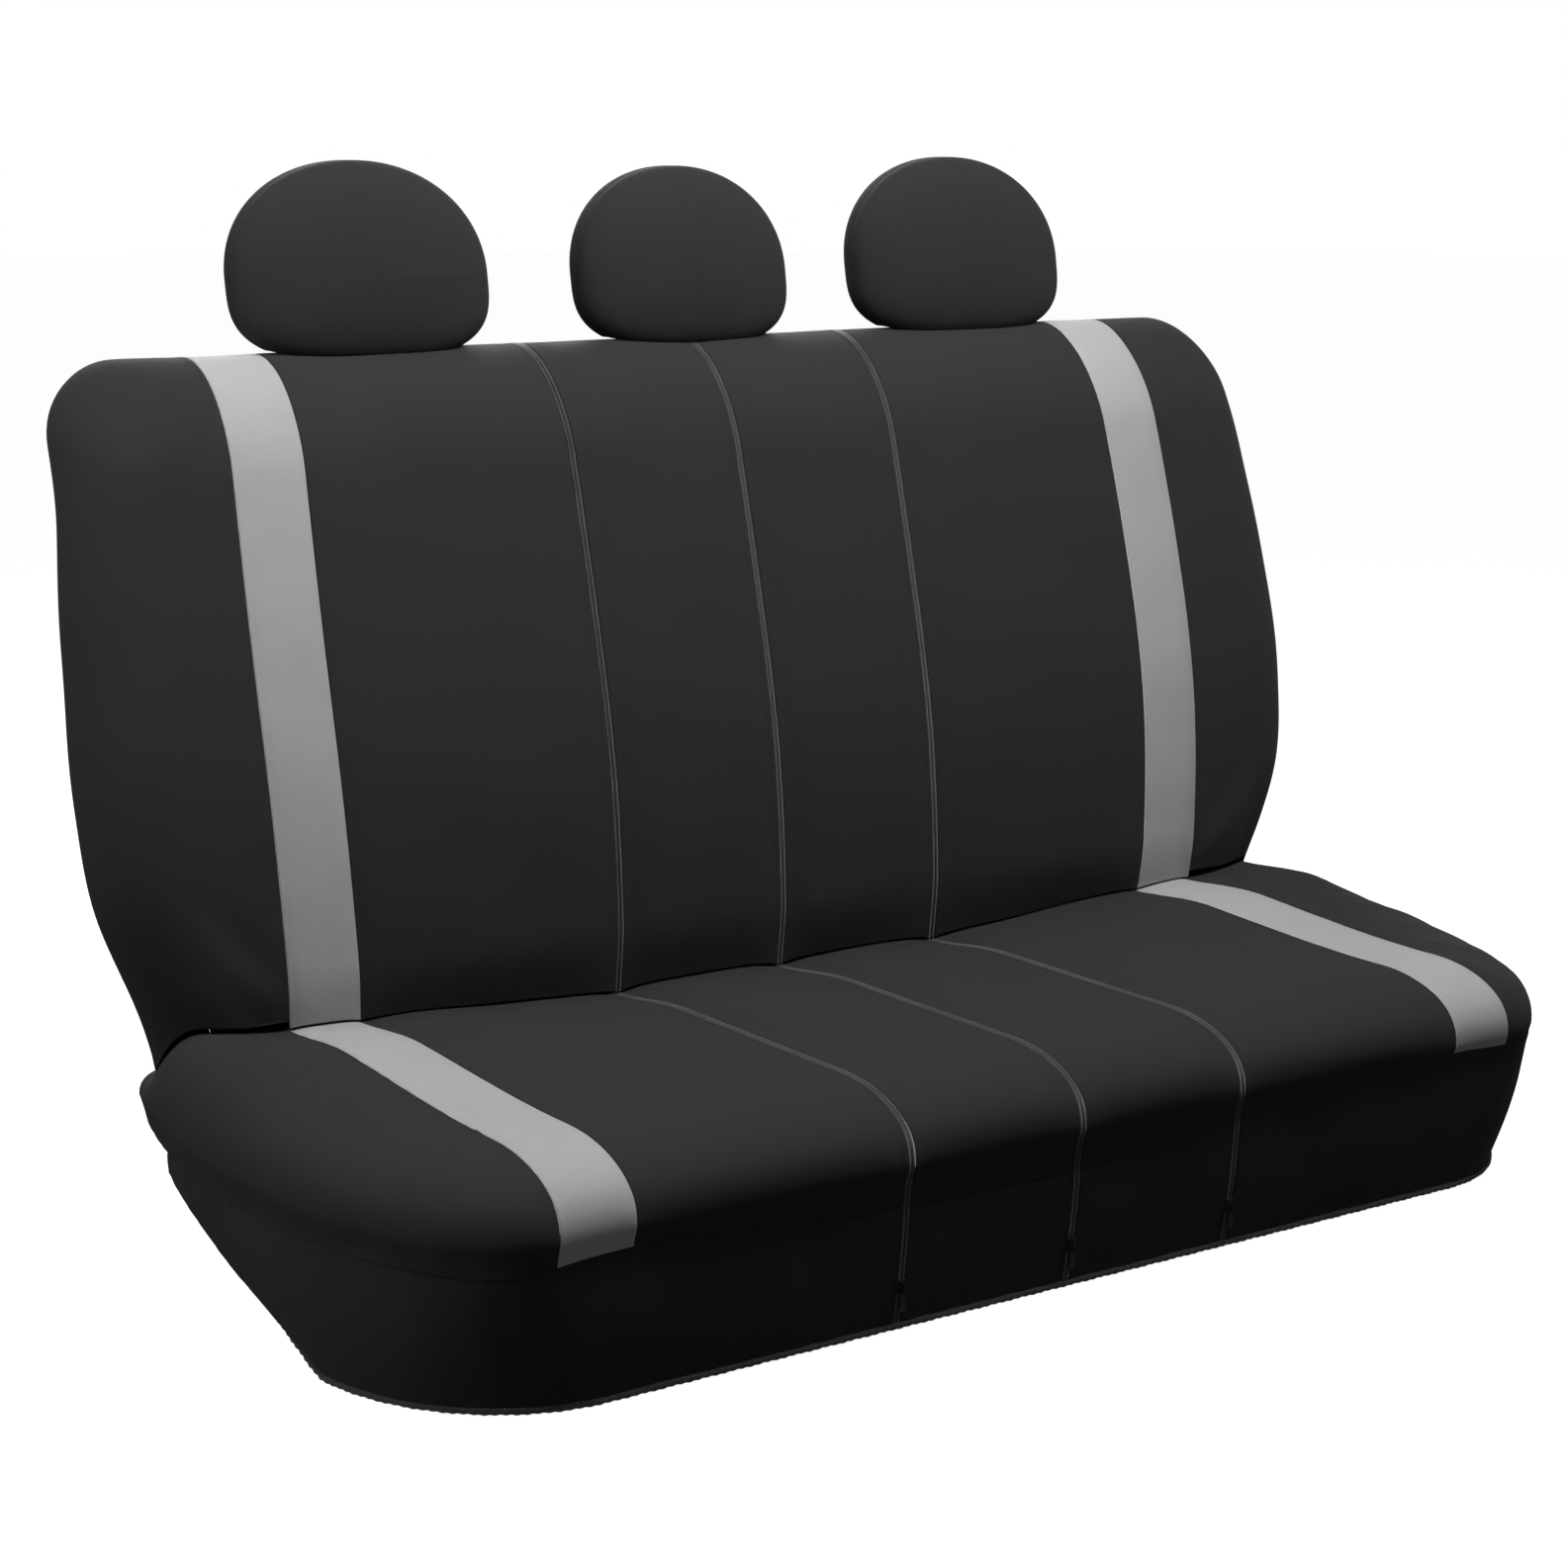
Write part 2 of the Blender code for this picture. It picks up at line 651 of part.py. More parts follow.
def build_back_centre(body):
    inside = (0, 0.08, 0.4)
    for side, sign, name, low, high, slot, count in signed_spans():
        if name != "mid":
            continue
        sheet = crowned_panel(back_profile, back_fade, low, high, BACK_CROWN, count)
        cloth_piece(f"back_mid_{side}", sheet, slot, body, inside)
        x_flap = sign * (SPLIT_X - ZIP_HALF - 2 * CLOTH)
        cloth_piece(f"back_centre_flap_{side}", side_flap(x_flap), "lining_cloth", body, inside, CLOTH / 2)
        low, high = sorted((sign * (SPLIT_X - ZIP_HALF), sign * (SPLIT_X - SEAM_GAP)))
        cloth_piece(f"back_centre_zip_{side}", back_zip(low, high), "zip_tape", body, inside, ZIP_CLOTH)
        x_in, x_out = sign * (ZIP_HALF + GAP), sign * (SPLIT_X - ZIP_HALF - GAP)
        top = BACK_TOP - REAR_SEAM_INSET - SEAM_GAP
        foot = BACK_REAR_FOOT[1]
        rear = flat_face([back_point(x_in, foot, 1), back_point(x_out, foot, 1),
                          back_point(x_out, top, 1), back_point(x_in, top, 1)])
        cloth_piece(f"back_rear_mid_{side}", rear, "lining_cloth", body, inside)
    middle = back_zip(-ZIP_HALF, ZIP_HALF)
    cloth_piece("back_zip_centre", middle, "zip_tape", body, inside, ZIP_CLOTH)


def build_back_side(side, sign, body):
    inside = (sign * 0.4, 0.08, 0.4)
    for span_side, _, name, low, high, slot, count in signed_spans():
        if name == "mid" or span_side != side:
            continue
        crown = BACK_CROWN if slot == "black_cloth" else BACK_CROWN / 3
        sheet = crowned_panel(back_profile, back_fade, low, high, crown, count)
        cloth_piece(f"back_{name}_{side}", sheet, slot, body, inside)
    cloth_piece(f"back_outer_{side}", back_outer(sign), "black_cloth", body, inside)
    rear = flat_face(back_rear_outline(sign, SPLIT_X + ZIP_HALF + GAP))
    cloth_piece(f"back_rear_{side}", rear, "lining_cloth", body, inside)
    x_flap = sign * (SPLIT_X + ZIP_HALF + 2 * CLOTH)
    cloth_piece(f"back_side_flap_{side}", side_flap(x_flap), "lining_cloth", body, inside, CLOTH / 2)
    low, high = sorted((sign * (SPLIT_X + SEAM_GAP), sign * (SPLIT_X + ZIP_HALF)))
    cloth_piece(f"back_side_zip_{side}", back_zip(low, high), "zip_tape", body, inside, ZIP_CLOTH)


# ---------------------------------------------------------------- headrest covers

def headrest_outline(width, height, count):
    """A D lying on its flat side: (x, z) from the middle, z up from the base."""
    half = width / 2
    waist = 0.42 * height
    points = []
    for k in range(count):
        turn = 2 * math.pi * k / count
        c, s = math.cos(turn), math.sin(turn)
        power = 0.96 if s >= 0 else 0.55
        x = half * math.copysign(abs(c)**power, c)
        if s < 0:
            x *= 1 - 0.14 * s * s
        reach = height - waist if s >= 0 else waist
        points.append((x, waist + reach * math.copysign(abs(s)**power, s)))
    return points


def headrest_shell(x_mid, width, height, sign):
    """Front (-1) or rear (+1) half of a headrest cover, open at the base.

    The front half's mouth droops over the curve of the crest.
    """
    outline = headrest_outline(width, height, 22)
    centre = Vector((0.0, 0.42 * height))
    bm = bmesh.new()
    half = HEADREST_DEPTH / 2
    levels = [(1.0, 0.0)]
    for turn in (0, 24, 44, 62, 78):
        angle = math.radians(turn)
        levels.append((math.cos(angle)**0.8, HEADREST_RIM + (half - HEADREST_RIM) * math.sin(angle)))
    rings = []
    for scale, depth in levels:
        ring = []
        for x, z in outline:
            flat = centre + (Vector((x, z)) - centre) * scale
            ring.append(bm.verts.new((flat.x, sign * (depth + SEAM_GAP), flat.y)))
        rings.append(ring)
    for outer, inner in zip(rings, rings[1:]):
        for k in range(len(outer)):
            n = (k + 1) % len(outer)
            bm.faces.new((outer[k], outer[n], inner[n], inner[k]))
    pole = bm.verts.new((centre.x, sign * half, centre.y))
    for k, vert in enumerate(rings[-1]):
        bm.faces.new((vert, rings[-1][(k + 1) % len(rings[-1])], pole))
    bmesh.ops.bisect_plane(bm, geom=bm.verts[:] + bm.edges[:] + bm.faces[:], dist=1e-6,
                           plane_co=(0, 0, HEADREST_CUT), plane_no=(0, 0, -1), clear_outer=True)
    for vert in bm.verts:
        above = (vert.co.z - HEADREST_CUT) / DROOP_HEIGHT
        if sign < 0 and above < 1:
            vert.co.z -= HEADREST_DROOP * vert.co.y**2 * (1 - above)
        vert.co.y += vert.co.z * math.tan(HEADREST_LEAN)
    bmesh.ops.translate(bm, verts=bm.verts, vec=(x_mid, HEADREST_Y, HEADREST_BASE - HEADREST_CUT))
    return bm


def build_headrest(side, section):
    x_mid, width, height = HEADREST_SIZES[side]
    body = make_empty(f"headrest_{side}_post", HEADREST_Y, HEADREST_BASE, section, x_mid)
    inside = (x_mid, HEADREST_Y + 0.01, HEADREST_BASE + 0.06)
    for face, sign in (("front", -1), ("rear", 1)):
        half = headrest_shell(x_mid, width, height, sign)
        cloth_piece(f"headrest_{face}_{side}", half, "black_cloth", body, inside)


# -------------------------------------------------------------------- zip sliders

def slider_mesh():
    """Slider lying on the Z = 0 plane, its zip along +Y, an arch on top for the pull."""
    bm = bmesh.new()
    box(bm, (-SLIDER_WIDTH / 2, -SLIDER_LENGTH / 2, 0), (SLIDER_WIDTH / 2, SLIDER_LENGTH / 2, SLIDER_THICK))
    bmesh.ops.bevel(bm, geom=bm.edges[:], offset=0.0006, segments=1, affect="EDGES")
    return bm


def arch_mesh():
    half = ARCH_LENGTH / 2
    low = SLIDER_THICK - 0.0008
    high = SLIDER_THICK + ARCH_HEIGHT
    outline = ((-half, low), (-half, high), (half, high), (half, low), (half - ARCH_WALL, low),
               (half - ARCH_WALL, high - ARCH_WALL), (ARCH_WALL - half, high - ARCH_WALL), (ARCH_WALL - half, low))
    bm = bmesh.new()
    extrude_outline(bm, outline, ARCH_WIDTH)
    return bm


def stand_on(bm, spot, up_slope, out):
    """Turn a mesh so that +Y runs up the slope and +Z points out, and put it at spot."""
    across = up_slope.cross(out)
    for vert in bm.verts:
        x, y, z = vert.co
        vert.co = spot + across * x + up_slope * y + out * z


def build_slider(name, x, y, z, up_slope, out, parent):
    """A slider, and its pull hanging from the arch; the pull's empty is on its bar."""
    spot = Vector((x, y, z)) + out * (CLOTH / 4)
    body = make_empty(f"{name}_joint", spot.y, spot.z, parent, x)
    bm = slider_mesh()
    stand_on(bm, spot, up_slope, out)
    slider = make_object(f"{name}_slider", bm, "zip_metal", body, smooth=False)
    bm = arch_mesh()
    stand_on(bm, spot, up_slope, out)
    arch = make_object(f"{name}_arch", bm, "zip_metal", body, smooth=False)
    arch.hide_render = True
    arch.display_type = "WIRE"
    union = slider.modifiers.new("arch", "BOOLEAN")
    union.operation = "UNION"
    union.object = arch
    bar = spot + out * (SLIDER_THICK + (ARCH_HEIGHT - ARCH_WALL) / 2)
    hang = make_empty(f"{name}_pull_joint", bar.y, bar.z, body, x)
    make_object(f"{name}_pull", pull_mesh(bar), "zip_metal", hang, smooth=False)


def pull_mesh(bar):
    """Pull tab hanging straight down from its bar, with a slot round the arch."""
    half = PULL_WIDTH / 2
    slot = PULL_SLOT_WIDTH / 2
    top = PULL_BAR / 2
    slot_top = -PULL_BAR / 2
    slot_low = slot_top - PULL_SLOT_LENGTH
    foot = top - PULL_LENGTH
    chamfer = 0.0012
    outer = ((-half, top), (half, top), (half, foot + chamfer), (half - chamfer, foot),
             (chamfer - half, foot), (-half, foot + chamfer))
    inner = ((-slot, slot_top), (slot, slot_top), (slot, slot_low), (-slot, slot_low))
    bm = bmesh.new()
    rim = [bm.verts.new((x, 0, z)) for x, z in outer]
    hole = [bm.verts.new((x, 0, z)) for x, z in inner]
    bm.faces.new((rim[0], rim[1], hole[1], hole[0]))
    bm.faces.new((rim[1], rim[2], hole[2], hole[1]))
    bm.faces.new((rim[5], rim[0], hole[0], hole[3]))
    bm.faces.new((rim[2], rim[3], rim[4], rim[5], hole[3], hole[2]))
    made = bmesh.ops.extrude_face_region(bm, geom=bm.faces[:])["geom"]
    moved = [v for v in made if isinstance(v, bmesh.types.BMVert)]
    bmesh.ops.translate(bm, vec=(0, PULL_THICK, 0), verts=moved)
    bmesh.ops.recalc_face_normals(bm, faces=bm.faces)
    bmesh.ops.translate(bm, vec=bar - Vector((0, PULL_THICK / 2, 0)), verts=bm.verts)
    return bm


def build_sliders(root, back_centre):
    """Sliders at the hem and the back's foot.

    Those between two back sections are parked beside the split, on the centre
    section's tape, so that each section can fold on its own.
    """
    foot, top = (Vector(skirt_profile(0.0)[k]) for k in (0, -1))
    up_front = (top - foot).normalized()
    out_front = Vector((0, -up_front.z, up_front.y))
    y_front = foot.lerp(top, (CUSHION_SLIDER_Z - foot.z) / (top.z - foot.z)).y
    up_rear = back_slope()
    out_rear = Vector((0, up_rear.z, -up_rear.y))
    for side, sign in (("left", -1), ("centre", 0), ("right", 1)):
        build_slider(f"cushion_zip_{side}", sign * SPLIT_X, y_front, CUSHION_SLIDER_Z, up_front, out_front, root)
        build_slider(f"back_zip_{side}", sign * BACK_SLIDER_X, back_rear_y(BACK_SLIDER_Z), BACK_SLIDER_Z,
                     up_rear, out_rear, back_centre)


# --------------------------------------------------------------------------- main

clear_scene()
LOOKS = {name: make_material(name, *look) for name, look in MATERIALS.items()}
cushion = make_empty("cushion_frame", -CREASE_Y, 0.0)
build_cushion(cushion)
sections = {}
for section in ("left", "centre", "right"):
    sections[section] = make_empty(f"back_{section}_hinge", *FOLD_PIVOT, cushion)
build_back_side("left", -1, sections["left"])
build_back_centre(sections["centre"])
build_back_side("right", 1, sections["right"])
for section, hinge in sections.items():
    build_headrest(section, hinge)
build_sliders(cushion, sections["centre"])
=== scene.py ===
"""Looks of the rear bench seat cover set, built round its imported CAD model.

Every cloth panel of the CAD model is made again here as a fine sewn sheet: the
same curves, more closely spaced, with edges rolled into the seams, a swell over
the seat's foam and the puckers that a stretched cover has.  Metres, +Z up, the
front faces -Y.  Shapes are worked out from the crease, where the back meets the
cushion, and CREASE_Y moves them to the row frame.
"""
import json
import math

import bmesh
import bpy
import numpy as np
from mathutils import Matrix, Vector

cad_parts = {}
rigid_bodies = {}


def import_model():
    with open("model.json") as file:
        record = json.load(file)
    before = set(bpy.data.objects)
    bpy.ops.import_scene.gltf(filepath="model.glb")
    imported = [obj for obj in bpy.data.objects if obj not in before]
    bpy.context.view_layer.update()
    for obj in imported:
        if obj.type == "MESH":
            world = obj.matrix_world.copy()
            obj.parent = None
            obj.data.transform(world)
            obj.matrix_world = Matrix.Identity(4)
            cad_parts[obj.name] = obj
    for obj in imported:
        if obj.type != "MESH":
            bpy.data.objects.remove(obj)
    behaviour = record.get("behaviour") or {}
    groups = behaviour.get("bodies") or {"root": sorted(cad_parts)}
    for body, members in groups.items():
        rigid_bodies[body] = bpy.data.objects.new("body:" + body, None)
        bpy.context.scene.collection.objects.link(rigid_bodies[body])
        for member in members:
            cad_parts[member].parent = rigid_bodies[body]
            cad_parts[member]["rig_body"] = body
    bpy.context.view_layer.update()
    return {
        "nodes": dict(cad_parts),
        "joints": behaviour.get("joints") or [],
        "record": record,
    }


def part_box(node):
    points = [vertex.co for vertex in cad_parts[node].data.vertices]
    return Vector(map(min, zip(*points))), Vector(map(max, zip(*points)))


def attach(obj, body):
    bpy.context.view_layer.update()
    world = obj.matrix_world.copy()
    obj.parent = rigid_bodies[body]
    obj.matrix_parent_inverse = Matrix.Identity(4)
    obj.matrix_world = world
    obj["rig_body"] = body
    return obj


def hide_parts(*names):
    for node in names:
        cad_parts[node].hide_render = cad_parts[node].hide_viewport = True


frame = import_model()

# ------------------------------------------------------------ sizes from the frame

FOLD = next(j for j in frame["joints"] if j["name"] == "back_left_fold")
CREASE_Y = FOLD["pos_m"][1]
SPLIT_X = float((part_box("cushion_zip_right")[0].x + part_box("cushion_zip_right")[1].x) / 2)
ZIP_HALF = float(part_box("cushion_zip_right")[1].x) - SPLIT_X
SEAM_GAP = 0.00015
STRIPE_IN = float(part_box("cushion_stripe_right")[0].x) - SEAM_GAP
STRIPE_OUT = float(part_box("cushion_stripe_right")[1].x) + SEAM_GAP
CUSHION_EDGE_X = float(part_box("cushion_outer_right")[1].x)
CUSHION_FRONT = CREASE_Y - float(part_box("cushion_outer_right")[0].y)
CUSHION_REAR = float(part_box("cushion_outer_right")[1].y) - CREASE_Y
BACK_TOP = float(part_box("back_outer_right")[1].z)

# Curves of the seat, as the CAD model has them
CLOTH = 0.0026
CUSHION_TOP = 0.209
CUSHION_EDGE_Z = 0.150
CUSHION_ROUND = 0.100
EDGE_POWER = 0.80
END_RISE = 0.008
CUSHION_CORNER = (0.135, 0.260)
CUSHION_INNER_CORNER = (0.030, 0.130)
REAR_TIGHTENING = 0.45
REAR_DRAW_IN = 0.038
CUSHION_CROWN = 0.005
SEAM_Z = 0.131
SEAM_TUCK = 0.006
SKIRT_LAP = 0.0006
FRONT_BULGE = 0.0022
SIDE_BULGE = 0.0055
SEAM_LINE = ((-0.70, 0.126), (-0.64, 0.123), (-0.56, 0.124), (-0.455, 0.1335), (-0.25, 0.115),
             (-0.16, 0.113), (0.0, 0.110), (0.11, 0.118), (0.185, 0.127), (0.28, 0.140),
             (0.36, 0.145), (0.455, 0.142), (0.60, 0.140))
HEM_X = 0.636
HEM_FRONT = 0.443
HEM_CORNER = (0.165, 0.190)
HEM_LOW = 0.0063
HEM_RISE_FROM = -0.270
HEM_RISE = 0.37
HEM_R = 0.003
HEM_LAP = 0.0009
BACK_EDGE_X = 0.664
BACK_CORNER = 0.070
BACK_FRONT_ROUND = 0.100
BACK_REAR_ROUND = 0.045
REAR_SEAM_INSET = 0.057
BACK_CROWN = 0.006
BACK_SIDE_LINE = ((0.15, 0.624), (0.22, 0.638), (0.33, 0.674), (0.42, 0.681),
                  (0.55, 0.676), (0.70, 0.667), (0.80, 0.664))
SIDE_FRONT_ROUND = 0.070
SIDE_REAR_ROUND = 0.070
SIDE_REAR_POWER = 1.2
SIDE_FORWARD = 0.15
STRIPE_BOW = 0.010
BACK_FRONT_LINE = ((0.15, 0.000), (0.205, -0.006), (0.27, -0.012), (0.42, 0.000),
                   (0.58, 0.034), (0.83, 0.100))
BACK_REAR_FOOT = (0.112, 0.115)
BACK_REAR_HEAD = (0.218, 0.700)
BACK_FOOT_Z = 0.20
BACK_CLEAR = 0.0018
SIDE_CLEAR = 0.0056
BACK_REAR_CHAMFER = 0.040
FLAP_INSET = 0.0075
FLAP_BOTTOM = 0.222
HEADREST_Y = 0.165
HEADREST_BASE = 0.7990
HEADREST_DROOP = 7.3
DROOP_HEIGHT = 0.040
CENTRE_SHIFT = 0.007
HEADREST_CUT = 0.012
HEADREST_DEPTH = 0.080
HEADREST_RIM = 0.006
HEADREST_WAIST = 0.42
HEADREST_LEAN = math.radians(9)

# Studio
CAMERA_SPOT = (-1.7688, CREASE_Y - 2.5499, 0.9922)
CAMERA_TILT, CAMERA_TURN = math.radians(78.8), math.radians(-34.88)
CAMERA_LENS, CAMERA_SENSOR = 75.5, 36.0
FLOOR_SIZE, BACKDROP_RADIUS = 60, 25
WALL_TOP, WALL_FADE = 0.07, 0.05

# How the cloth lies.  The runs are rough lengths that a grid's rows are shared out over.
STEP = 0.006
FINE_STEP = 0.003
REAR_STEP = 0.010
SIDE_RUN, END_RUN, WALL_RUN = 0.45, 0.055, 0.019
SKIRT_SIDE_RUN, SKIRT_FRONT_RUN, SKIRT_RUN = 0.30, 0.40, 0.12
BACK_RUN, BACK_FRONT_RUN, BACK_END_RUN, REAR_RUN = 0.50, 0.48, 0.039, 0.30
CORNER_COUNT = 34
LINE_SHORT = 0.03
EDGES = ("first_row", "last_row", "first_col", "last_col")
# Width of the strip along each grey stripe's seams that is painted pale as a highlight
STRIPE_PAINTED_HIGHLIGHT = 0.0011
# Distances from a zip's middle between which its raised beads get the lighter cord colour, partly a painted
# highlight
CORD_FROM, CORD_TO = 0.0013, 0.0029
SEAM_STEPS = (0.0, 0.0002, 0.0005, 0.0009, 0.0014, 0.0022, 0.0034, 0.0054, 0.0084)
SEAM_ROLL = 0.0015
ZIP_ROLL = 0.0012
EDGE_ROLL = 0.0008
LIP = 0.0009
CALM = {"seam": 0.009, "zip": 0.022, "edge": 0.001}
DRAPE_HEIGHT = 0.0009
DRAPE_PITCHES = ((0.31, 0.17), (-0.19, 0.23), (0.13, -0.29), (-0.41, -0.12))

# Folds pulled into the cloth on the left: start, end, half width and height
END_FOLDS = (((-0.590, -0.08, 0.212), (-0.655, -0.13, 0.150), 0.011, 0.0022),
             ((-0.575, -0.15, 0.212), (-0.660, -0.21, 0.148), 0.010, -0.0034),
             ((-0.570, -0.20, 0.212), (-0.660, -0.27, 0.146), 0.011, 0.0040),
             ((-0.560, -0.27, 0.210), (-0.645, -0.36, 0.140), 0.010, -0.0038),
             ((-0.550, -0.32, 0.205), (-0.610, -0.42, 0.138), 0.011, 0.0036),
             ((-0.545, -0.37, 0.195), (-0.560, -0.455, 0.140), 0.009, -0.0015),
             ((-0.640, -0.285, 0.165), (-0.650, -0.300, 0.126), 0.0065, 0.0032),
             ((-0.628, -0.315, 0.168), (-0.640, -0.335, 0.126), 0.0060, -0.0032),
             ((-0.612, -0.345, 0.170), (-0.622, -0.370, 0.128), 0.0065, 0.0036),
             ((-0.590, -0.375, 0.168), (-0.596, -0.400, 0.128), 0.0065, -0.0028))
SKIRT_FOLDS = (((-0.655, -0.19, 0.120), (-0.645, -0.22, 0.060), 0.011, 0.0020),
               ((-0.650, -0.28, 0.115), (-0.625, -0.30, 0.030), 0.013, -0.0022),
               ((-0.620, -0.37, 0.115), (-0.590, -0.37, 0.020), 0.012, 0.0024),
               ((-0.570, -0.43, 0.120), (-0.540, -0.42, 0.015), 0.012, -0.0020),
               ((-0.440, -0.46, 0.120), (-0.460, -0.45, 0.020), 0.014, 0.0014),
               ((-0.310, -0.46, 0.110), (-0.290, -0.45, 0.030), 0.012, 0.0012))
BACK_FOLDS = (((-0.535, -0.01, 0.232), (-0.600, 0.00, 0.300), 0.012, 0.0016),
              ((-0.530, -0.01, 0.260), (-0.620, 0.00, 0.360), 0.013, -0.0016),
              ((-0.560, 0.05, 0.740), (-0.640, 0.06, 0.700), 0.012, 0.0012))


# -------------------------------------------------------------------- curve helpers

def ease(t):
    """Smooth step from 0 to 1."""
    t = np.clip(t, 0.0, 1.0)
    return t * t * (3.0 - 2.0 * t)


def hermite(knots, at):
    """Smooth curve through (x, y) knots, with finite-difference slopes."""
    xs, ys = (np.array(k, float) for k in zip(*knots))
    last = len(xs) - 1
    low, high = np.maximum(np.arange(last + 1) - 1, 0), np.minimum(np.arange(last + 1) + 1, last)
    slopes = (ys[high] - ys[low]) / (xs[high] - xs[low])
    at = np.asarray(at, float)
    k = np.clip(np.searchsorted(xs, at) - 1, 0, last - 1)
    h = xs[k + 1] - xs[k]
    t = (at - xs[k]) / h
    return ((2 * t**3 - 3 * t**2 + 1) * ys[k] + (t**3 - 2 * t**2 + t) * h * slopes[k]
            + (3 * t**2 - 2 * t**3) * ys[k + 1] + (t**3 - t**2) * h * slopes[k + 1])


def stations(low, high, step=STEP, fine_low=True, fine_high=True):
    """Places from low to high, close together at an end that is sewn."""
    length = abs(high - low)
    head = [s for s in SEAM_STEPS if s < length / 3] if fine_low else [0.0]
    tail = [s for s in SEAM_STEPS if s < length / 3] if fine_high else [0.0]
    middle = length - head[-1] - tail[-1]
    count = max(1, round(middle / step))
    even = [head[-1] + middle * k / count for k in range(1, count)]
    places = np.array(head + even + [length - s for s in reversed(tail)])
    return low + (high - low) * places / length


def shares(length, step=STEP, fine_low=True, fine_high=True):
    """Stations over that length, as shares of it from 0 to 1."""
    return stations(0.0, length, step, fine_low, fine_high) / length


def points(*parts):
    """Points from their coordinates, any of which may be one number for all of them."""
    return np.stack(np.broadcast_arrays(*parts), axis=-1)


def turns(first, last, radius):
    """Angles from first to last, in degrees, a step apart on an arc of that radius."""
    count = max(4, round(abs(math.radians(last - first)) * radius / STEP))
    return np.radians(np.linspace(first, last, count + 1))


def corner_path(x_edge, w_edge, radii, x_line, w_start, arc_count, w_places, x_places):
    """Points up a side at x_edge, round an elliptical corner and in along w_edge to x_line."""
    across, up = radii
    side = [(x_edge, w_start + (w_edge - up - w_start) * t) for t in w_places]
    turn = np.linspace(0, math.pi / 2, arc_count + 1)[1:]
    arc = [(x_edge - across * (1 - math.cos(a)), w_edge - up * (1 - math.sin(a))) for a in turn]
    top = [(x_edge - across + (x_line - x_edge + across) * t, w_edge) for t in x_places[1:]]
    return np.array(side + arc + top)


def along(path):
    """Length along a path at each of its points."""
    steps = np.linalg.norm(np.diff(path, axis=0), axis=1)
    return np.concatenate([[0.0], np.cumsum(steps)])


def outward(path):
    """Unit normals of a top-view path, on its outer side."""
    step = np.gradient(path, axis=0)
    normals = points(step[:, 1], -step[:, 0])
    return normals / np.linalg.norm(normals, axis=1, keepdims=True)


# ---------------------------------------------------------------- sheets from grids

def grid_lengths(grid):
    """Distance of every grid point from its four edges, measured along the cloth."""
    down = np.linalg.norm(np.diff(grid, axis=0), axis=2)
    across = np.linalg.norm(np.diff(grid, axis=1), axis=2)
    rows = np.vstack([np.zeros((1, grid.shape[1])), np.cumsum(down, axis=0)])
    cols = np.hstack([np.zeros((grid.shape[0], 1)), np.cumsum(across, axis=1)])
    return dict(zip(EDGES, (rows, rows[-1:] - rows, cols, cols[:, -1:] - cols)))


def grid_cross(grid):
    """Normals of a grid, on the side that its rows and columns give."""
    return np.cross(np.gradient(grid, axis=0), np.gradient(grid, axis=1))


def grid_normals(grid, inside):
    """Unit normals of a grid, pointing away from a point inside the cover."""
    normals = grid_cross(grid)
    normals /= np.maximum(np.linalg.norm(normals, axis=2, keepdims=True), 1e-12)
    facing = np.sum(normals * (grid - np.array(inside)))
    return normals if facing > 0 else -normals


def rolled(distance, kind):
    """How far the cloth sinks at that distance from an edge of that kind."""
    if kind == "zip":
        drop = np.clip(1 - distance / ZIP_ROLL, 0, 1)
        lip = np.exp(-((distance - 2.1 * ZIP_ROLL) / (0.9 * ZIP_ROLL))**2)
        return 0.35 * LIP * lip - ZIP_ROLL * (1 - np.sqrt(1 - drop**2))
    radius = {"seam": SEAM_ROLL, "edge": EDGE_ROLL}[kind]
    drop = np.clip(1 - distance / radius, 0, 1)
    return -radius * (1 - np.sqrt(1 - drop**2))


def ripple(length, seed):
    """A gentle irregular wave from -1 to 1 along a seam."""
    wave = 0.0
    for k, pitch in enumerate((0.087, 0.051, 0.031, 0.019)):
        wave = wave + math.cos(seed * 1.7 + k) * np.sin(2 * math.pi * length / pitch + seed * (k + 2.3))
    return wave / 2.2


def pucker(distance, length, seed, height, reach):
    """Small gathers beside a seam, which die out across the cloth."""
    return height * ripple(length, seed) * np.exp(-distance / reach) * (1 - np.exp(-distance / 0.002))


def mirrored(folds, sign):
    """The folds on the left side (-1) or their mirror images on the right (+1)."""
    return [((-sign * a[0], *a[1:]), (-sign * b[0], *b[1:]), *size) for a, b, *size in folds]


def crease_marks(grid, marks, seen_along):
    """Soft folds in the cloth: each is (start, end, half width, height).

    Less is seen along the axis in which the cloth bulges away from a fold's straight line.
    """
    total = np.zeros(grid.shape[:2])
    grid = grid * seen_along
    for start, end, width, height in marks:
        a, b = np.multiply(start, seen_along), np.multiply(end, seen_along)
        run = b - a
        t = np.clip((grid - a) @ run / (run @ run), 0, 1)
        away = np.linalg.norm(grid - a - t[..., None] * run, axis=2)
        total += height * np.exp(-(away / width)**2) * np.sin(math.pi * np.clip(t, 0.02, 0.98))**0.7
    return total


def drape(lengths, seed):
    """The unevenness of foam-backed cloth stretched over foam: slow, shallow waves."""
    u, v = lengths["first_col"], lengths["first_row"]
    wave = 0.0
    for k, (pitch_u, pitch_v) in enumerate(DRAPE_PITCHES):
        phase = seed * (1.3 + 0.7 * k)
        wave = wave + np.sin(2 * math.pi * (u / pitch_u + v / pitch_v) + phase)
    return DRAPE_HEIGHT * wave / len(DRAPE_PITCHES)


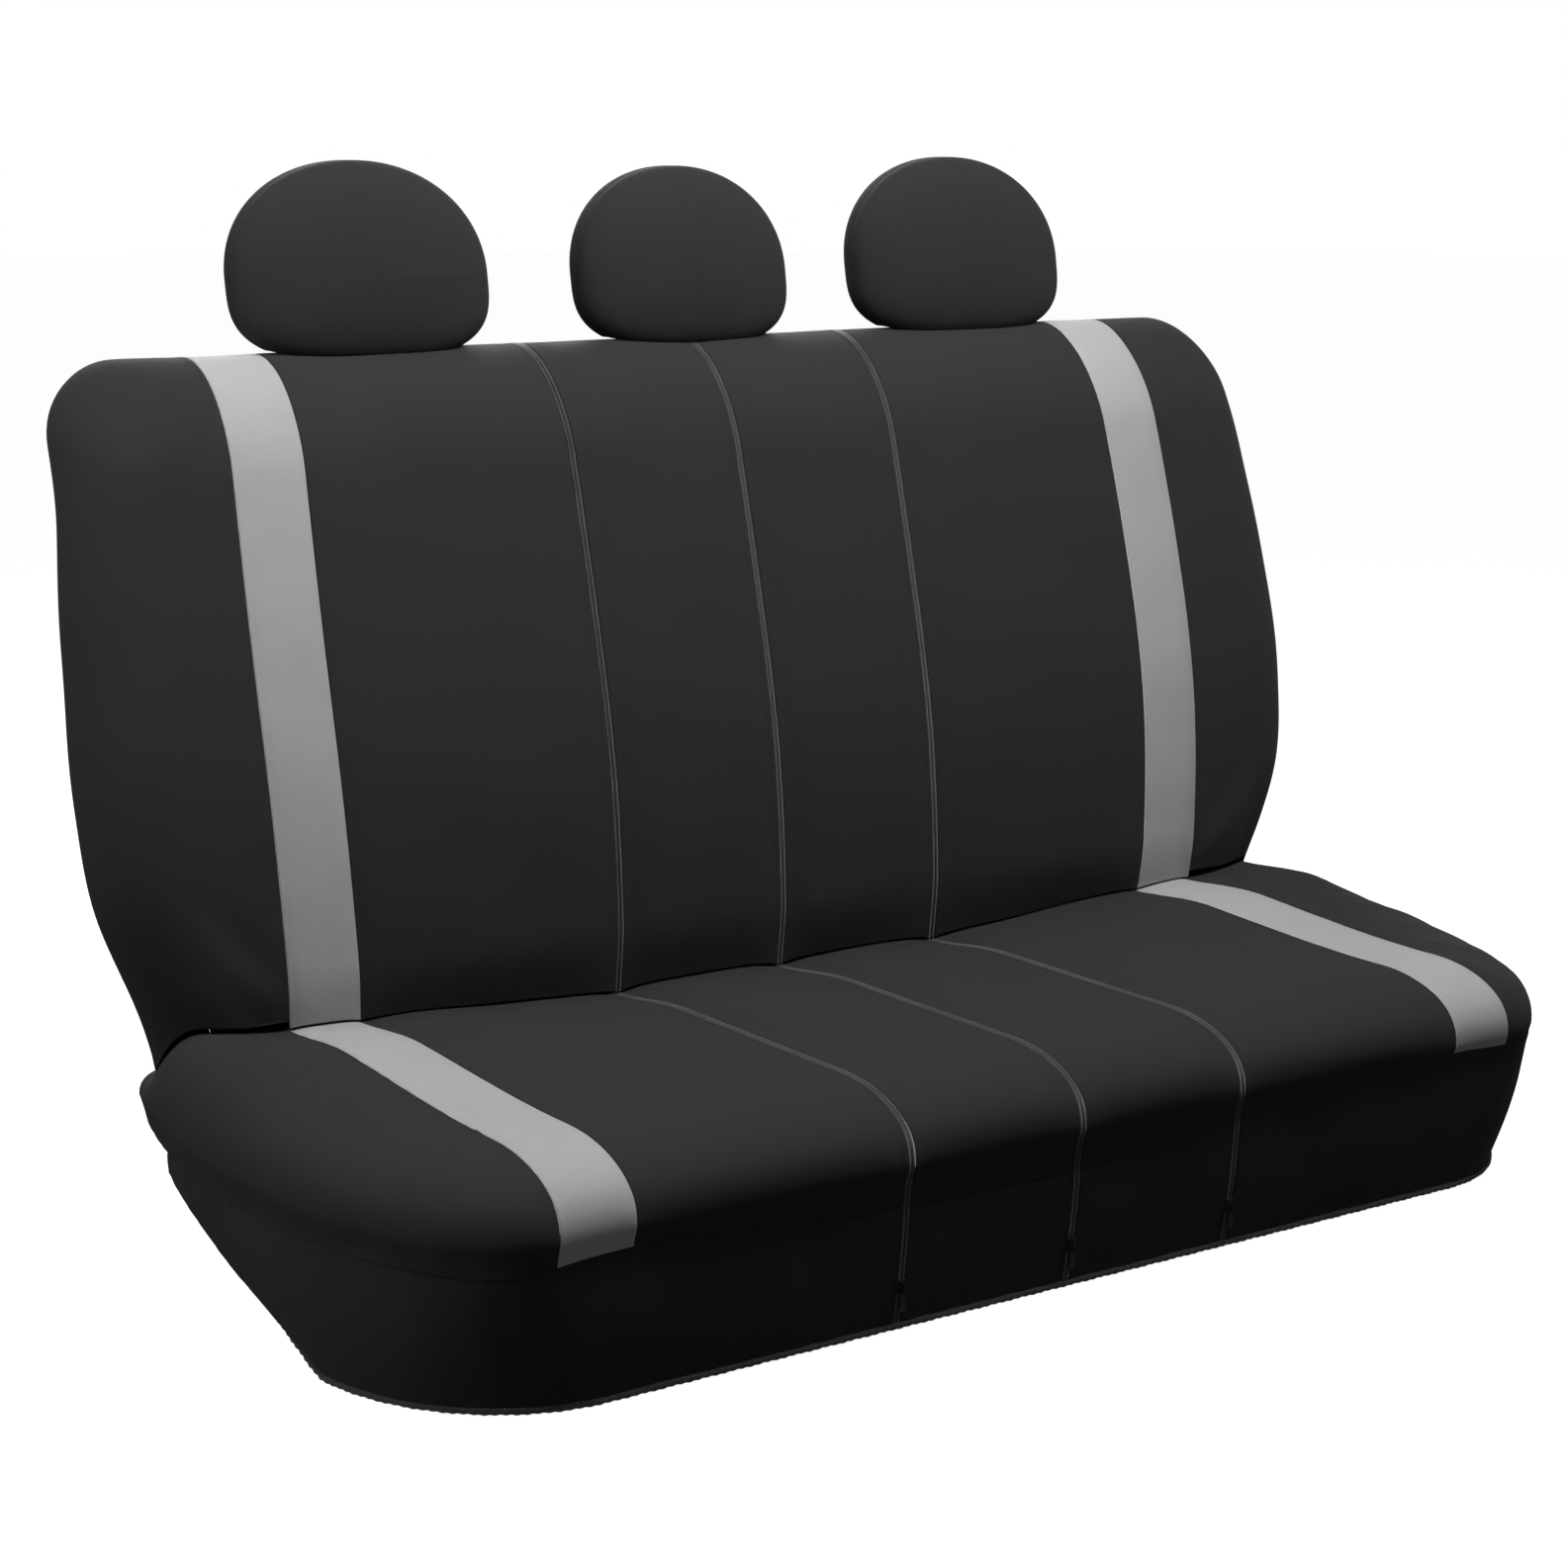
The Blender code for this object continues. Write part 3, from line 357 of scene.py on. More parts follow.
def build_mesh(name, verts, faces, uv, materials, face_slots=None, sharp=50):
    """A smooth-shaded object, placed in the row frame."""
    mesh = bpy.data.meshes.new(name)
    mesh.from_pydata((np.asarray(verts) + (0, CREASE_Y, 0)).tolist(), [], faces)
    for material in materials:
        mesh.materials.append(material)
    if face_slots is not None:
        mesh.polygons.foreach_set("material_index", np.asarray(face_slots, np.int32))
    layer = mesh.uv_layers.new(name="cloth")
    corners = np.zeros(len(mesh.loops), np.int32)
    mesh.loops.foreach_get("vertex_index", corners)
    layer.data.foreach_set("uv", np.asarray(uv, np.float32)[corners].ravel())
    mesh.shade_smooth()
    mesh.set_sharp_from_angle(angle=math.radians(sharp))
    piece = bpy.data.objects.new(name, mesh)
    bpy.context.scene.collection.objects.link(piece)
    return piece


def grid_faces(rows, cols, offset, flip):
    k = np.arange(rows * cols).reshape(rows, cols) + offset
    quads = np.stack([k[:-1, :-1], k[:-1, 1:], k[1:, 1:], k[1:, :-1]], axis=2).reshape(-1, 4)
    return quads[:, ::-1] if flip else quads


def shell(name, grid, inside, materials, thickness=CLOTH, painted_highlight_edge=0.0):
    """A sheet of cloth: the grid, a lining behind it, and a strip round its edge."""
    rows, cols = grid.shape[:2]
    normals = grid_normals(grid, inside)
    flip = np.sum(grid_cross(grid) * normals) > 0
    verts = np.vstack([grid.reshape(-1, 3), (grid - normals * thickness).reshape(-1, 3)])
    outer = grid_faces(rows, cols, 0, flip)
    inner = grid_faces(rows, cols, rows * cols, not flip)
    back = rows * cols
    index = np.arange(back).reshape(rows, cols)
    ring = np.concatenate([index[0, :-1], index[:-1, -1], index[-1, :0:-1], index[:0:-1, 0]])
    after = np.roll(ring, -1)
    strip = points(ring, ring + back, after + back, after)
    strip = strip[:, ::-1] if flip else strip
    lengths = grid_lengths(grid)
    uv = points(lengths["first_col"], lengths["first_row"]).reshape(-1, 2)
    slots = np.zeros(len(outer) + len(inner) + len(strip), np.int32)
    slots[len(outer):len(outer) + len(inner)] = 1
    # Faces of the outer sheet near its long edges get the third material: a pale colour painted along the
    # seam as a highlight.
    if painted_highlight_edge:
        near = np.minimum(*(lengths[edge] for edge in (EDGES[:2] if rows < cols else EDGES[2:])))
        middle = (near[:-1, :-1] + near[1:, 1:]) / 2
        slots[:len(outer)] = np.where(middle.reshape(-1) < painted_highlight_edge, 2, 0)
    faces = np.vstack([outer, inner, strip])
    return build_mesh(name, verts, faces.tolist(), np.vstack([uv, uv]), materials, slots)


def lay(node, grid, inside, look, edges, crown=0.0, fade=None, marks=(), height=0.0, pale=0.0):
    """Make a CAD node's panel from a grid and put it in the node's place.

    edges holds what each of EDGES is: a seam, a zip or a plain edge, or None where nothing shows.
    """
    lengths = grid_lengths(grid)
    normals = grid_normals(grid, inside)
    lift = np.zeros(grid.shape[:2])
    if crown:
        width = lengths["first_col"] + lengths["last_col"]
        u = 2 * lengths["first_col"] / width - 1
        lift += crown * (1 - u**4) * fade(grid)
    lift += crease_marks(grid, marks, (1.0, 1.0, 0.3) if "cushion" in node else (1.0, 0.3, 1.0))
    seams = {edge: kind for edge, kind in zip(EDGES, edges) if kind}
    if height:
        lift += drape(lengths, len(node) + 3.0 * node.endswith("left"))
    for edge, kind in seams.items():
        lift *= ease(lengths[edge] / CALM[kind])
    for k, (edge, kind) in enumerate(sorted(seams.items())):
        if height and kind != "zip":
            run = lengths["first_col" if edge.endswith("row") else "first_row"]
            lift += pucker(lengths[edge], run, len(node) + k, height, 0.016)
    sink = np.zeros(grid.shape[:2])
    for edge, kind in seams.items():
        drop = rolled(lengths[edge], kind)
        sink = np.where(np.abs(drop) > np.abs(sink), drop, sink)
    grid = grid + normals * (lift + sink)[..., None]
    # For the grey stripes a third material is added: the painted highlight along their seams.
    materials = [look, LOOKS["lining"]] + ([LOOKS["stripe_highlight_edge"]] if pale else [])
    piece = shell(f"{node}_cloth", grid, inside, materials, painted_highlight_edge=pale)
    place(piece, node)
    width = float(np.mean((lengths["first_col"] + lengths["last_col"])[:, 0]))
    length = float(np.mean((lengths["first_row"] + lengths["last_row"])[0]))
    declare(width, length, sheet_area(grid))


def sheet_area(grid):
    """Area of a grid, from its quads' diagonals."""
    a = grid[1:, 1:] - grid[:-1, :-1]
    b = grid[1:, :-1] - grid[:-1, 1:]
    return float(np.linalg.norm(np.cross(a, b), axis=2).sum() / 2)


def declare(width, length, area):
    """Work out the panel's cut: its size on the seat and the allowance sewn into its seams. The result is
    not kept.
    """
    allowance = 0.020
    flat = (round(width + allowance, 3), round(length + allowance, 3))
    share = area / (flat[0] * flat[1])
    if 0.92 < share < 1.0:
        return
    scale = math.sqrt(max(share, 1.0))
    flat = (round(flat[0] * scale, 3), round(flat[1] * scale, 3))


def place(piece, node):
    """Put the piece in a CAD node's place, on the node's body."""
    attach(piece, frame["nodes"][node]["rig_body"])
    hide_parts(node)


NODE_SLOTS = {s["node"]: s["material_slot"] for s in frame["record"]["subparts"]}
SIDES = (("left", -1), ("right", 1))


# ------------------------------------------------------------------------ materials

class Nodes:
    """A short way to write a material's node tree."""

    def __init__(self, name, **finish):
        self.material = bpy.data.materials.new(name)
        self.material.use_nodes = True
        self.tree = self.material.node_tree
        self.shader = self.tree.nodes["Principled BSDF"]
        for socket, value in finish.items():
            self.shader.inputs[socket.replace("_", " ")].default_value = value

    def add(self, kind, links=None, **settings):
        node = self.tree.nodes.new(f"ShaderNode{kind}")
        for key, value in settings.items():
            if hasattr(node, key):
                setattr(node, key, value)
            else:
                node.inputs[key.replace("_", " ")].default_value = value
        for socket, source in (links or {}).items():
            self.tree.links.new(source, node.inputs[socket])
        return node

    def math(self, operation, *values):
        node = self.tree.nodes.new("ShaderNodeMath")
        node.operation = operation
        for k, value in enumerate(values):
            if isinstance(value, (int, float)):
                node.inputs[k].default_value = value
            else:
                self.tree.links.new(value, node.inputs[k])
        return node.outputs[0]

    def ramp(self, source, low, high, dark, light):
        node = self.tree.nodes.new("ShaderNodeValToRGB")
        node.color_ramp.elements[0].position = low
        node.color_ramp.elements[1].position = high
        node.color_ramp.elements[0].color = (*dark, 1)
        node.color_ramp.elements[1].color = (*light, 1)
        self.tree.links.new(source, node.inputs["Fac"])
        return node.outputs["Color"]

    def span(self, source, low, high, to_low, to_high):
        node = self.tree.nodes.new("ShaderNodeMapRange")
        for k, value in enumerate((low, high, to_low, to_high)):
            node.inputs[k + 1].default_value = value
        self.tree.links.new(source, node.inputs[0])
        return node.outputs[0]

    def surface(self, colour=None, roughness=None, height=None, depth=0.0002):
        if colour:
            self.tree.links.new(colour, self.shader.inputs["Base Color"])
        if roughness:
            self.tree.links.new(roughness, self.shader.inputs["Roughness"])
        if height:
            bump = self.add("Bump", {"Height": height}, Distance=depth, Strength=1.0)
            self.tree.links.new(bump.outputs["Normal"], self.shader.inputs["Normal"])
        return self.material


def scaled(colour, factor):
    return tuple(c * factor for c in colour)


def woven(name, colour, pitch, depth, roughness=(0.80, 0.92), fleck=0.16, drift=0.10, twill=False, **finish):
    """Cloth with crossed threads of that pitch, flecked yarn and a slow drift of tone."""
    nodes = Nodes(name, **finish)
    cloth = nodes.add("UVMap", uv_map="cloth").outputs["UV"]
    place_at = nodes.add("TexCoord").outputs["Object"]
    part = nodes.add("SeparateXYZ", {"Vector": cloth})
    turn = 2 * math.pi / pitch
    across, up = part.outputs["X"], part.outputs["Y"]
    if twill:
        across = nodes.math("ADD", across, nodes.math("MULTIPLY", up, 0.5))
    warp = nodes.math("SINE", nodes.math("MULTIPLY", across, turn))
    weft = nodes.math("SINE", nodes.math("MULTIPLY", up, turn))
    weave = nodes.math("MULTIPLY", warp, weft)
    fibre = nodes.add("TexNoise", {"Vector": place_at}, Scale=1400.0, Detail=2.0).outputs["Fac"]
    slow = nodes.add("TexNoise", {"Vector": place_at}, Scale=7.0, Detail=4.0, Roughness=0.6).outputs["Fac"]
    mixed = nodes.math("ADD", nodes.math("MULTIPLY", fibre, fleck), nodes.math("MULTIPLY", slow, drift))
    mixed = nodes.math("ADD", mixed, nodes.math("MULTIPLY", weave, 0.02))
    total = (fleck + drift) / 2
    tone = nodes.ramp(mixed, total - 0.10, total + 0.10, scaled(colour, 0.82), scaled(colour, 1.18))
    rough = nodes.span(slow, 0.3, 0.7, *roughness)
    height = nodes.math("ADD", weave, nodes.math("MULTIPLY", fibre, 0.8))
    return nodes.surface(tone, rough, height, depth)


def smooth_thread(name, colour, pitch, **finish):
    """Sewing thread or a zip's covered coil: fine ribs across its run."""
    nodes = Nodes(name, **finish)
    cloth = nodes.add("UVMap", uv_map="cloth").outputs["UV"]
    place_at = nodes.add("TexCoord").outputs["Object"]
    run = nodes.add("SeparateXYZ", {"Vector": cloth}).outputs["Y"]
    rib = nodes.math("SINE", nodes.math("MULTIPLY", run, 2 * math.pi / pitch))
    slow = nodes.add("TexNoise", {"Vector": place_at}, Scale=60.0, Detail=3.0).outputs["Fac"]
    tone = nodes.ramp(slow, 0.35, 0.65, scaled(colour, 0.75), scaled(colour, 1.2))
    rough = nodes.span(slow, 0.3, 0.7, 0.38, 0.55)
    return nodes.surface(tone, rough, rib, 0.00012)


def moulded(name, colour, grain, roughness, depth=0.00005, **finish):
    """Moulded plastic or lacquered metal: fine grain, worn a little paler."""
    nodes = Nodes(name, **finish)
    place_at = nodes.add("TexCoord").outputs["Object"]
    fine = nodes.add("TexNoise", {"Vector": place_at}, Scale=grain, Detail=3.0).outputs["Fac"]
    slow = nodes.add("TexNoise", {"Vector": place_at}, Scale=90.0, Detail=4.0).outputs["Fac"]
    tone = nodes.ramp(slow, 0.35, 0.75, colour, scaled(colour, 1.7))
    rough = nodes.span(slow, 0.3, 0.7, *roughness)
    return nodes.surface(tone, rough, fine, depth)


BLACK = (0.0140, 0.0140, 0.0137)
GREY = (0.228, 0.229, 0.226)
LOOKS = {
    "black": woven("black_flat_cloth", BLACK, 0.0011, 0.00006, Specular_IOR_Level=0.12, Sheen_Weight=0.02,
                   Sheen_Roughness=0.5),
    "grey": woven("grey_flat_cloth", GREY, 0.0011, 0.00006, Specular_IOR_Level=0.15, Sheen_Weight=0.02,
                  Sheen_Roughness=0.5),
    # Painted highlight: a pale lilac grey on the stripes' outermost strip, standing in for the light caught
    # along their seams
    "stripe_highlight_edge": woven("grey_cloth_painted_highlight_edge", (0.42, 0.41, 0.43), 0.0011, 0.0001, Sheen_Weight=0.1),
    "lining": woven("knitted_lining", (0.012, 0.012, 0.013), 0.0022, 0.0003, (0.88, 0.97), twill=True,
                    Sheen_Weight=0.05),
    "tape": smooth_thread("zip_tape_and_coil", (0.016, 0.016, 0.017), 0.0016, Specular_IOR_Level=0.4),
    # Partly painted highlight: the beads beside a zip's coil are a real satin cord, but their lighter colour
    # stands in for the shine they catch; the specular and sheen are their own finish.
    "cord": smooth_thread("seam_binding_painted_highlight", (0.036, 0.036, 0.038), 0.0009, Specular_IOR_Level=0.6,
                          Sheen_Weight=0.3),
    "elastic": woven("woven_elastic", (0.016, 0.016, 0.016), 0.0024, 0.0005, (0.75, 0.9), Sheen_Weight=0.1),
    "hook": moulded("hook_plastic", (0.020, 0.020, 0.021), 900.0, (0.38, 0.52)),
    "metal": moulded("black_lacquered_metal", (0.020, 0.020, 0.022), 1500.0, (0.25, 0.42), 0.00002,
                     Metallic=0.6),
}


# ------------------------------------------------------------------ cushion surfaces

def cushion_height(x, y):
    """Height of the cushion's top face: lower at the crease, higher at its ends."""
    dip = 0.010 * ease((y + 0.12) / 0.12) + 0.028 * ease(y / CUSHION_REAR)
    rise = 0.018 * ease((np.abs(x) - 0.20) / 0.35) * ease((y + 0.35) / 0.35) * (1 - ease(y / 0.08))
    plump = END_RISE * ease((np.abs(x) - STRIPE_OUT) / 0.09) * ease((y + 0.42) / 0.24) * (1 - ease(y / 0.09))
    return CUSHION_TOP - dip + rise + plump


def share_of(inset, radius):
    """Share of the full height at that inset from an edge rounded to that radius."""
    return np.sqrt(np.maximum(0.0, 1 - (1 - np.minimum(inset, radius) / radius)**2))


def cushion_z(x, y, share):
    """Height of the cushion's rounded edge, which is a little squarer than an ellipse."""
    return CUSHION_EDGE_Z + (cushion_height(x, y) - CUSHION_EDGE_Z) * np.maximum(share, 0.0)**EDGE_POWER


def front_seam(x):
    """Height of the seam between the cushion's top and its skirt, which wanders."""
    return hermite(SEAM_LINE, np.clip(x, -0.69, 0.59)) + 0.0009 * np.sin(x * 57.0)


def wall_inset(z):
    """How far the side wall stands in from the cushion's widest line at that height."""
    return hermite(((HEM_LOW, 0.022), (0.060, 0.0145), (SEAM_Z, 0.0056), (CUSHION_EDGE_Z, 0.0)), z)


def cushion_top_rows(xs, fine_end):
    """Rows over the cushion's rounded front edge and back to its rear edge."""
    spots = [(CUSHION_ROUND * (1 - math.cos(a)) - CUSHION_FRONT, math.sin(a))
             for a in turns(0, 90, CUSHION_ROUND)[1:]]
    flat = stations(CUSHION_ROUND - CUSHION_FRONT, CUSHION_REAR, STEP, False, fine_end)[1:]
    spots += [(y, 1.0) for y in flat]
    return [points(xs, y, cushion_z(xs, y, share)) for y, share in spots]


def cushion_strip(x_low, x_high):
    """Grid over the cushion from the skirt seam to the rear edge, between two seams."""
    xs = stations(x_low, x_high)
    rows = []
    for t in shares(WALL_RUN, FINE_STEP, True, False):
        z = front_seam(xs) + (CUSHION_EDGE_Z - front_seam(xs)) * t
        rows.append(points(xs, wall_inset(z) - CUSHION_FRONT, z))
    return np.array(rows + cushion_top_rows(xs, True))


def cushion_fade(grid):
    """The cushion's swelling dies out at the skirt seam."""
    return ease((grid[..., 2] - SEAM_Z) / 0.05)


def draw_in(x, y):
    """How far the cushion's side draws in towards its rear corner."""
    reach = np.clip((x - STRIPE_OUT) / (CUSHION_EDGE_X - STRIPE_OUT), 0, 1)
    return REAR_DRAW_IN * reach * np.maximum(0.0, (y + 0.13) / 0.23)**2


def cushion_path(inset):
    """Top-view path round the cushion's end, inset from its edge, right side.

    The edge's rounding tightens towards the crease.
    """
    share = inset / CUSHION_ROUND
    radii = [outer + (inner - outer) * share for outer, inner in zip(CUSHION_CORNER, CUSHION_INNER_CORNER)]
    x_edge = CUSHION_EDGE_X - inset
    path = corner_path(x_edge, CUSHION_FRONT - inset, radii, STRIPE_OUT + SEAM_GAP,
                       -CUSHION_REAR, CORNER_COUNT, shares(SIDE_RUN, STEP, True, False),
                       shares(END_RUN, STEP, False, True))
    reach = (path[:, 0] - STRIPE_OUT) / (x_edge - STRIPE_OUT)
    tighter = REAR_TIGHTENING * inset * ease((0.25 - path[:, 1]) / 0.25) * reach
    path[:, 0] += tighter - draw_in(path[:, 0], -path[:, 1])
    return path


def cushion_side_z(x, y):
    """Height of the cushion's rounded end beside the crease, at a distance x from the middle."""
    tight = 1 - REAR_TIGHTENING * ease((y + 0.25) / 0.25)
    inset = np.maximum(0.0, (CUSHION_EDGE_X - draw_in(CUSHION_EDGE_X, y) - x) / tight)
    return cushion_z(x, y, share_of(inset, CUSHION_ROUND))


def cushion_end(sign):
    """Grid over the end of the cushion: top face, rounded corner and side."""
    inner = cushion_path(CUSHION_ROUND)
    share = along(inner) / along(inner)[-1]
    reach = CUSHION_FRONT - CUSHION_ROUND - LINE_SHORT + CUSHION_REAR
    line = points(STRIPE_OUT + SEAM_GAP, -CUSHION_REAR + reach * share)
    rows = [(line + (inner - line) * t, 1.0) for t in shares(END_RUN, STEP, True, False)]
    for a in turns(90, 0, CUSHION_ROUND)[1:]:
        rows.append((cushion_path(CUSHION_ROUND * (1 - math.cos(a))), math.sin(a)))
    grid = [points(sign * f[:, 0], -f[:, 1], cushion_z(f[:, 0], -f[:, 1], s)) for f, s in rows]
    edge = cushion_path(0.0)
    seam = front_seam(sign * edge[:, 0])
    for t in shares(WALL_RUN, FINE_STEP, False, True)[1:]:
        grid.append(wall_points(edge, CUSHION_EDGE_Z + (seam - CUSHION_EDGE_Z) * t, sign))
    return np.array(grid)


def wall_points(edge, z, sign):
    """Points on the side wall under the cushion's widest line, at those heights."""
    spot = edge - outward(edge) * wall_inset(z)[:, None]
    return points(sign * spot[:, 0], -spot[:, 1], z)


# --------------------------------------------------------------------- skirt surfaces

def hem_height(y):
    """Height of the hem, which climbs towards the rear."""
    return HEM_LOW + np.maximum(0.0, HEM_RISE * (y - HEM_RISE_FROM))


def skirt_paths(x_line):
    """The skirt's seam and its hem on the right side, from the rear end to x_line."""
    shape = (x_line, 0.0, CORNER_COUNT, shares(SKIRT_SIDE_RUN, STEP, True, False),
             shares(SKIRT_FRONT_RUN, STEP, False, True))
    radii = [radius - SEAM_TUCK for radius in CUSHION_CORNER]
    top = corner_path(CUSHION_EDGE_X - SEAM_TUCK, CUSHION_FRONT - SEAM_TUCK, radii, *shape)
    top[:, 0] -= draw_in(top[:, 0], -top[:, 1])
    return top, corner_path(HEM_X, HEM_FRONT, HEM_CORNER, *shape)


def skirt_grid(top, base, sign):
    """Ruled cloth from the hem up to the seam, cut off along the climbing hem."""
    seam_z = front_seam(sign * top[:, 0]) + SKIRT_LAP
    hem_z = hem_height(-base[:, 1])
    beside = ease((base[:, 0] - STRIPE_IN) / (HEM_X - STRIPE_IN))
    fullness = ((seam_z - hem_z) / (SEAM_Z - HEM_LOW))**2
    rows = []
    for t in shares(SKIRT_RUN):
        z = hem_z + (seam_z - hem_z) * t
        reach = (z - HEM_LOW) / (SEAM_Z - HEM_LOW)
        bow = (FRONT_BULGE + SIDE_BULGE * beside) * fullness * math.sin(math.pi * t)
        spot = base + (top - base) * reach[:, None]
        spot = spot + outward(spot) * bow[:, None]
        rows.append(points(sign * spot[:, 0], -spot[:, 1], z))
    return np.array(rows)


def skirt_middle(x_low, x_high):
    """Grid over the skirt's front between two zips."""
    xs = stations(x_low, x_high)[::-1]
    return skirt_grid(points(xs, CUSHION_FRONT - SEAM_TUCK), points(xs, HEM_FRONT), 1)


# ---------------------------------------------------------------------- back surfaces

def back_front_y(z):
    """Y of the back's front face at a height."""
    return hermite(BACK_FRONT_LINE, z)


def back_rear_y(z):
    """Y of the back's rear face at a height."""
    (y0, z0), (y1, z1) = BACK_REAR_FOOT, BACK_REAR_HEAD
    return y0 + (y1 - y0) * (np.asarray(z) - z0) / (z1 - z0)


def back_y(z, share):
    """Y between the edge line (share 0) and the front (-1) or rear (+1) face."""
    front, rear = back_front_y(z), back_rear_y(z)
    edge = (front + rear) / 2
    return edge + (np.where(share < 0, front, rear) - edge) * np.abs(share)


def back_points(x, z, share, forward=0.0):
    """Points of the back's surface: the stripes bow outwards on the front at half their height."""
    share = np.full_like(z, share)
    shift = (back_rear_y(z) - back_front_y(z)) * forward * (1 - np.abs(share))
    beside = np.clip((np.abs(x) - SPLIT_X - ZIP_HALF) / (STRIPE_IN - SPLIT_X), 0, 1)
    arch = np.sin(math.pi * np.clip((z - 0.20) / 0.58, 0, 1))
    bow = STRIPE_BOW * beside * arch * ease(1 - share) * np.sign(x)
    return points(x + bow, back_y(z, share) - shift, z)


def back_bottom(xs, crown):
    """Lowest height of the back's front face, just above the swell of the cushion."""
    u = 2 * (xs - xs.min()) / (xs.max() - xs.min()) - 1
    return cushion_height(xs, 0.0) + crown * (1 - u**4) + BACK_CLEAR


def back_strip(x_low, x_high, rear_end=None, crown=CUSHION_CROWN):
    """Grid from the crease up the front, over the crest and down the rear."""
    xs = stations(x_low, x_high)
    crest_z = BACK_TOP - BACK_FRONT_ROUND
    rear_end = BACK_TOP - REAR_SEAM_INSET + SEAM_GAP if rear_end is None else rear_end
    bottom = back_bottom(xs, crown)
    rows = [back_points(xs, bottom + (crest_z - bottom) * t, -1.0)
            for t in shares(BACK_FRONT_RUN, STEP, True, False)[:-1]]
    arcs = [(BACK_FRONT_ROUND, a) for a in turns(-90, 0, BACK_FRONT_ROUND)]
    arcs += [(BACK_REAR_ROUND, a) for a in turns(0, 90, BACK_REAR_ROUND)[1:]]
    rows += [back_points(xs, BACK_TOP - radius * (1 - math.cos(a)), math.sin(a)) for radius, a in arcs]
    rear = stations(BACK_TOP - BACK_REAR_ROUND, rear_end, STEP, False, True)[1:]
    return np.array(rows + [back_points(xs, z, 1.0) for z in rear])


def back_fade(grid):
    """The back's swelling dies out at the crest, where the headrests sit."""
    crest = back_y(np.array(BACK_TOP), np.array(0.0))
    y, z = grid[..., 1], grid[..., 2]
    return ease((crest - y) / 0.07) * np.where(z > 0.5, 1, ease((z - 0.17) / 0.1))


def back_path(inset, share):
    """(x, z) up the side, round the corner and in to the stripe, inset from the edge."""
    radius = BACK_CORNER * (1 - 0.85 * inset / BACK_FRONT_ROUND)
    rounding = SIDE_FRONT_ROUND / BACK_FRONT_ROUND if share < 0 else SIDE_REAR_ROUND / BACK_REAR_ROUND
    foot_x = float(hermite(BACK_SIDE_LINE, BACK_FOOT_Z)) - inset * rounding
    foot_y = float(back_points(foot_x, np.array(BACK_FOOT_Z), share, SIDE_FORWARD)[1])
    bottom = float(cushion_side_z(foot_x, foot_y)) + SIDE_CLEAR
    x_edge = BACK_EDGE_X - inset
    path = corner_path(x_edge, BACK_TOP - inset, (radius, radius), STRIPE_OUT + SEAM_GAP, bottom, 16,
                       shares(BACK_RUN, STEP, True, False), shares(END_RUN, STEP, False, True))
    x, z = path[:, 0], path[:, 1]
    reach = (x - STRIPE_OUT) / (x_edge - STRIPE_OUT)
    wider = hermite(BACK_SIDE_LINE, z) - BACK_EDGE_X + inset * (1 - rounding) * ease((BACK_TOP - z) / 0.12)
    path[:, 0] += wider * reach
    return path


def back_end(sign):
    """Grid over the end of the back: front face, rounded side and the crest's corner."""
    inner = back_path(BACK_FRONT_ROUND, -1)
    share = along(inner) / along(inner)[-1]
    low, high = inner[0, 1], inner[-1, 1] - LINE_SHORT
    line = points(STRIPE_OUT + SEAM_GAP, low + (high - low) * share)
    rows = [(line + (inner - line) * t, -1.0) for t in shares(BACK_END_RUN, STEP, True, False)]
    for a in turns(-90, 0, BACK_FRONT_ROUND)[1:]:
        rows.append((back_path(BACK_FRONT_ROUND * (1 - math.cos(a)), math.sin(a)), math.sin(a)))
    grid = [end_row(path, level, sign) for path, level in rows]
    for a in turns(0, 90, SIDE_REAR_ROUND)[1:]:
        c, s = max(0.0, math.cos(a)), math.sin(a)
        side_c, side_s = c**(2 / SIDE_REAR_POWER), s**(2 / SIDE_REAR_POWER)
        crest = back_path(BACK_REAR_ROUND * (1 - c), s)
        side = back_path(BACK_REAR_ROUND * (1 - side_c), side_s)
        reach = ease((crest[:, :1] - STRIPE_OUT) / (BACK_EDGE_X - STRIPE_OUT))
        start = end_row(crest, s, sign)
        grid.append(start + (end_row(side, side_s, sign) - start) * reach)
    for inset in stations(BACK_REAR_ROUND, REAR_SEAM_INSET - SEAM_GAP, 0.004, False, True)[1:]:
        grid.append(end_row(back_path(inset, 1.0), 1.0, sign))
    return np.array(grid)


def end_row(path, share, sign):
    """Points of the back's end along a path, where the edge line lies further forward."""
    x, z = path[:, 0], path[:, 1]
    reach = np.clip((x - STRIPE_OUT) / (BACK_EDGE_X - STRIPE_OUT), 0, 1)
    return back_points(sign * x, z, share, SIDE_FORWARD * reach * ease((BACK_TOP - z) / 0.14))


def rear_grid(sign, x_in, x_out_at):
    """Flat rear panel of a section, between its zip and its outer seam."""
    (_, low), high = BACK_REAR_FOOT, BACK_TOP - REAR_SEAM_INSET - SEAM_GAP
    rows = []
    for z in stations(low, high, REAR_STEP):
        xs = x_in + (x_out_at(z) - x_in) * shares(REAR_RUN, REAR_STEP)
        sag = 0.0012 * np.sin(xs * 23.0 + z * 9.0) * np.sin(math.pi * (z - low) / (high - low))
        rows.append(points(sign * xs, back_rear_y(z) + sag, z))
    return np.array(rows)


def side_rear_edge(z):
    """Outer X of a side section's rear panel at a height."""
    path = back_path(REAR_SEAM_INSET + SEAM_GAP, 1)
    edge = np.interp(z, path[:, 1], path[:, 0])
    foot = BACK_REAR_FOOT[1]
    return edge - BACK_REAR_CHAMFER * (1 - min(1.0, (z - foot) / (path[0, 1] - foot)))


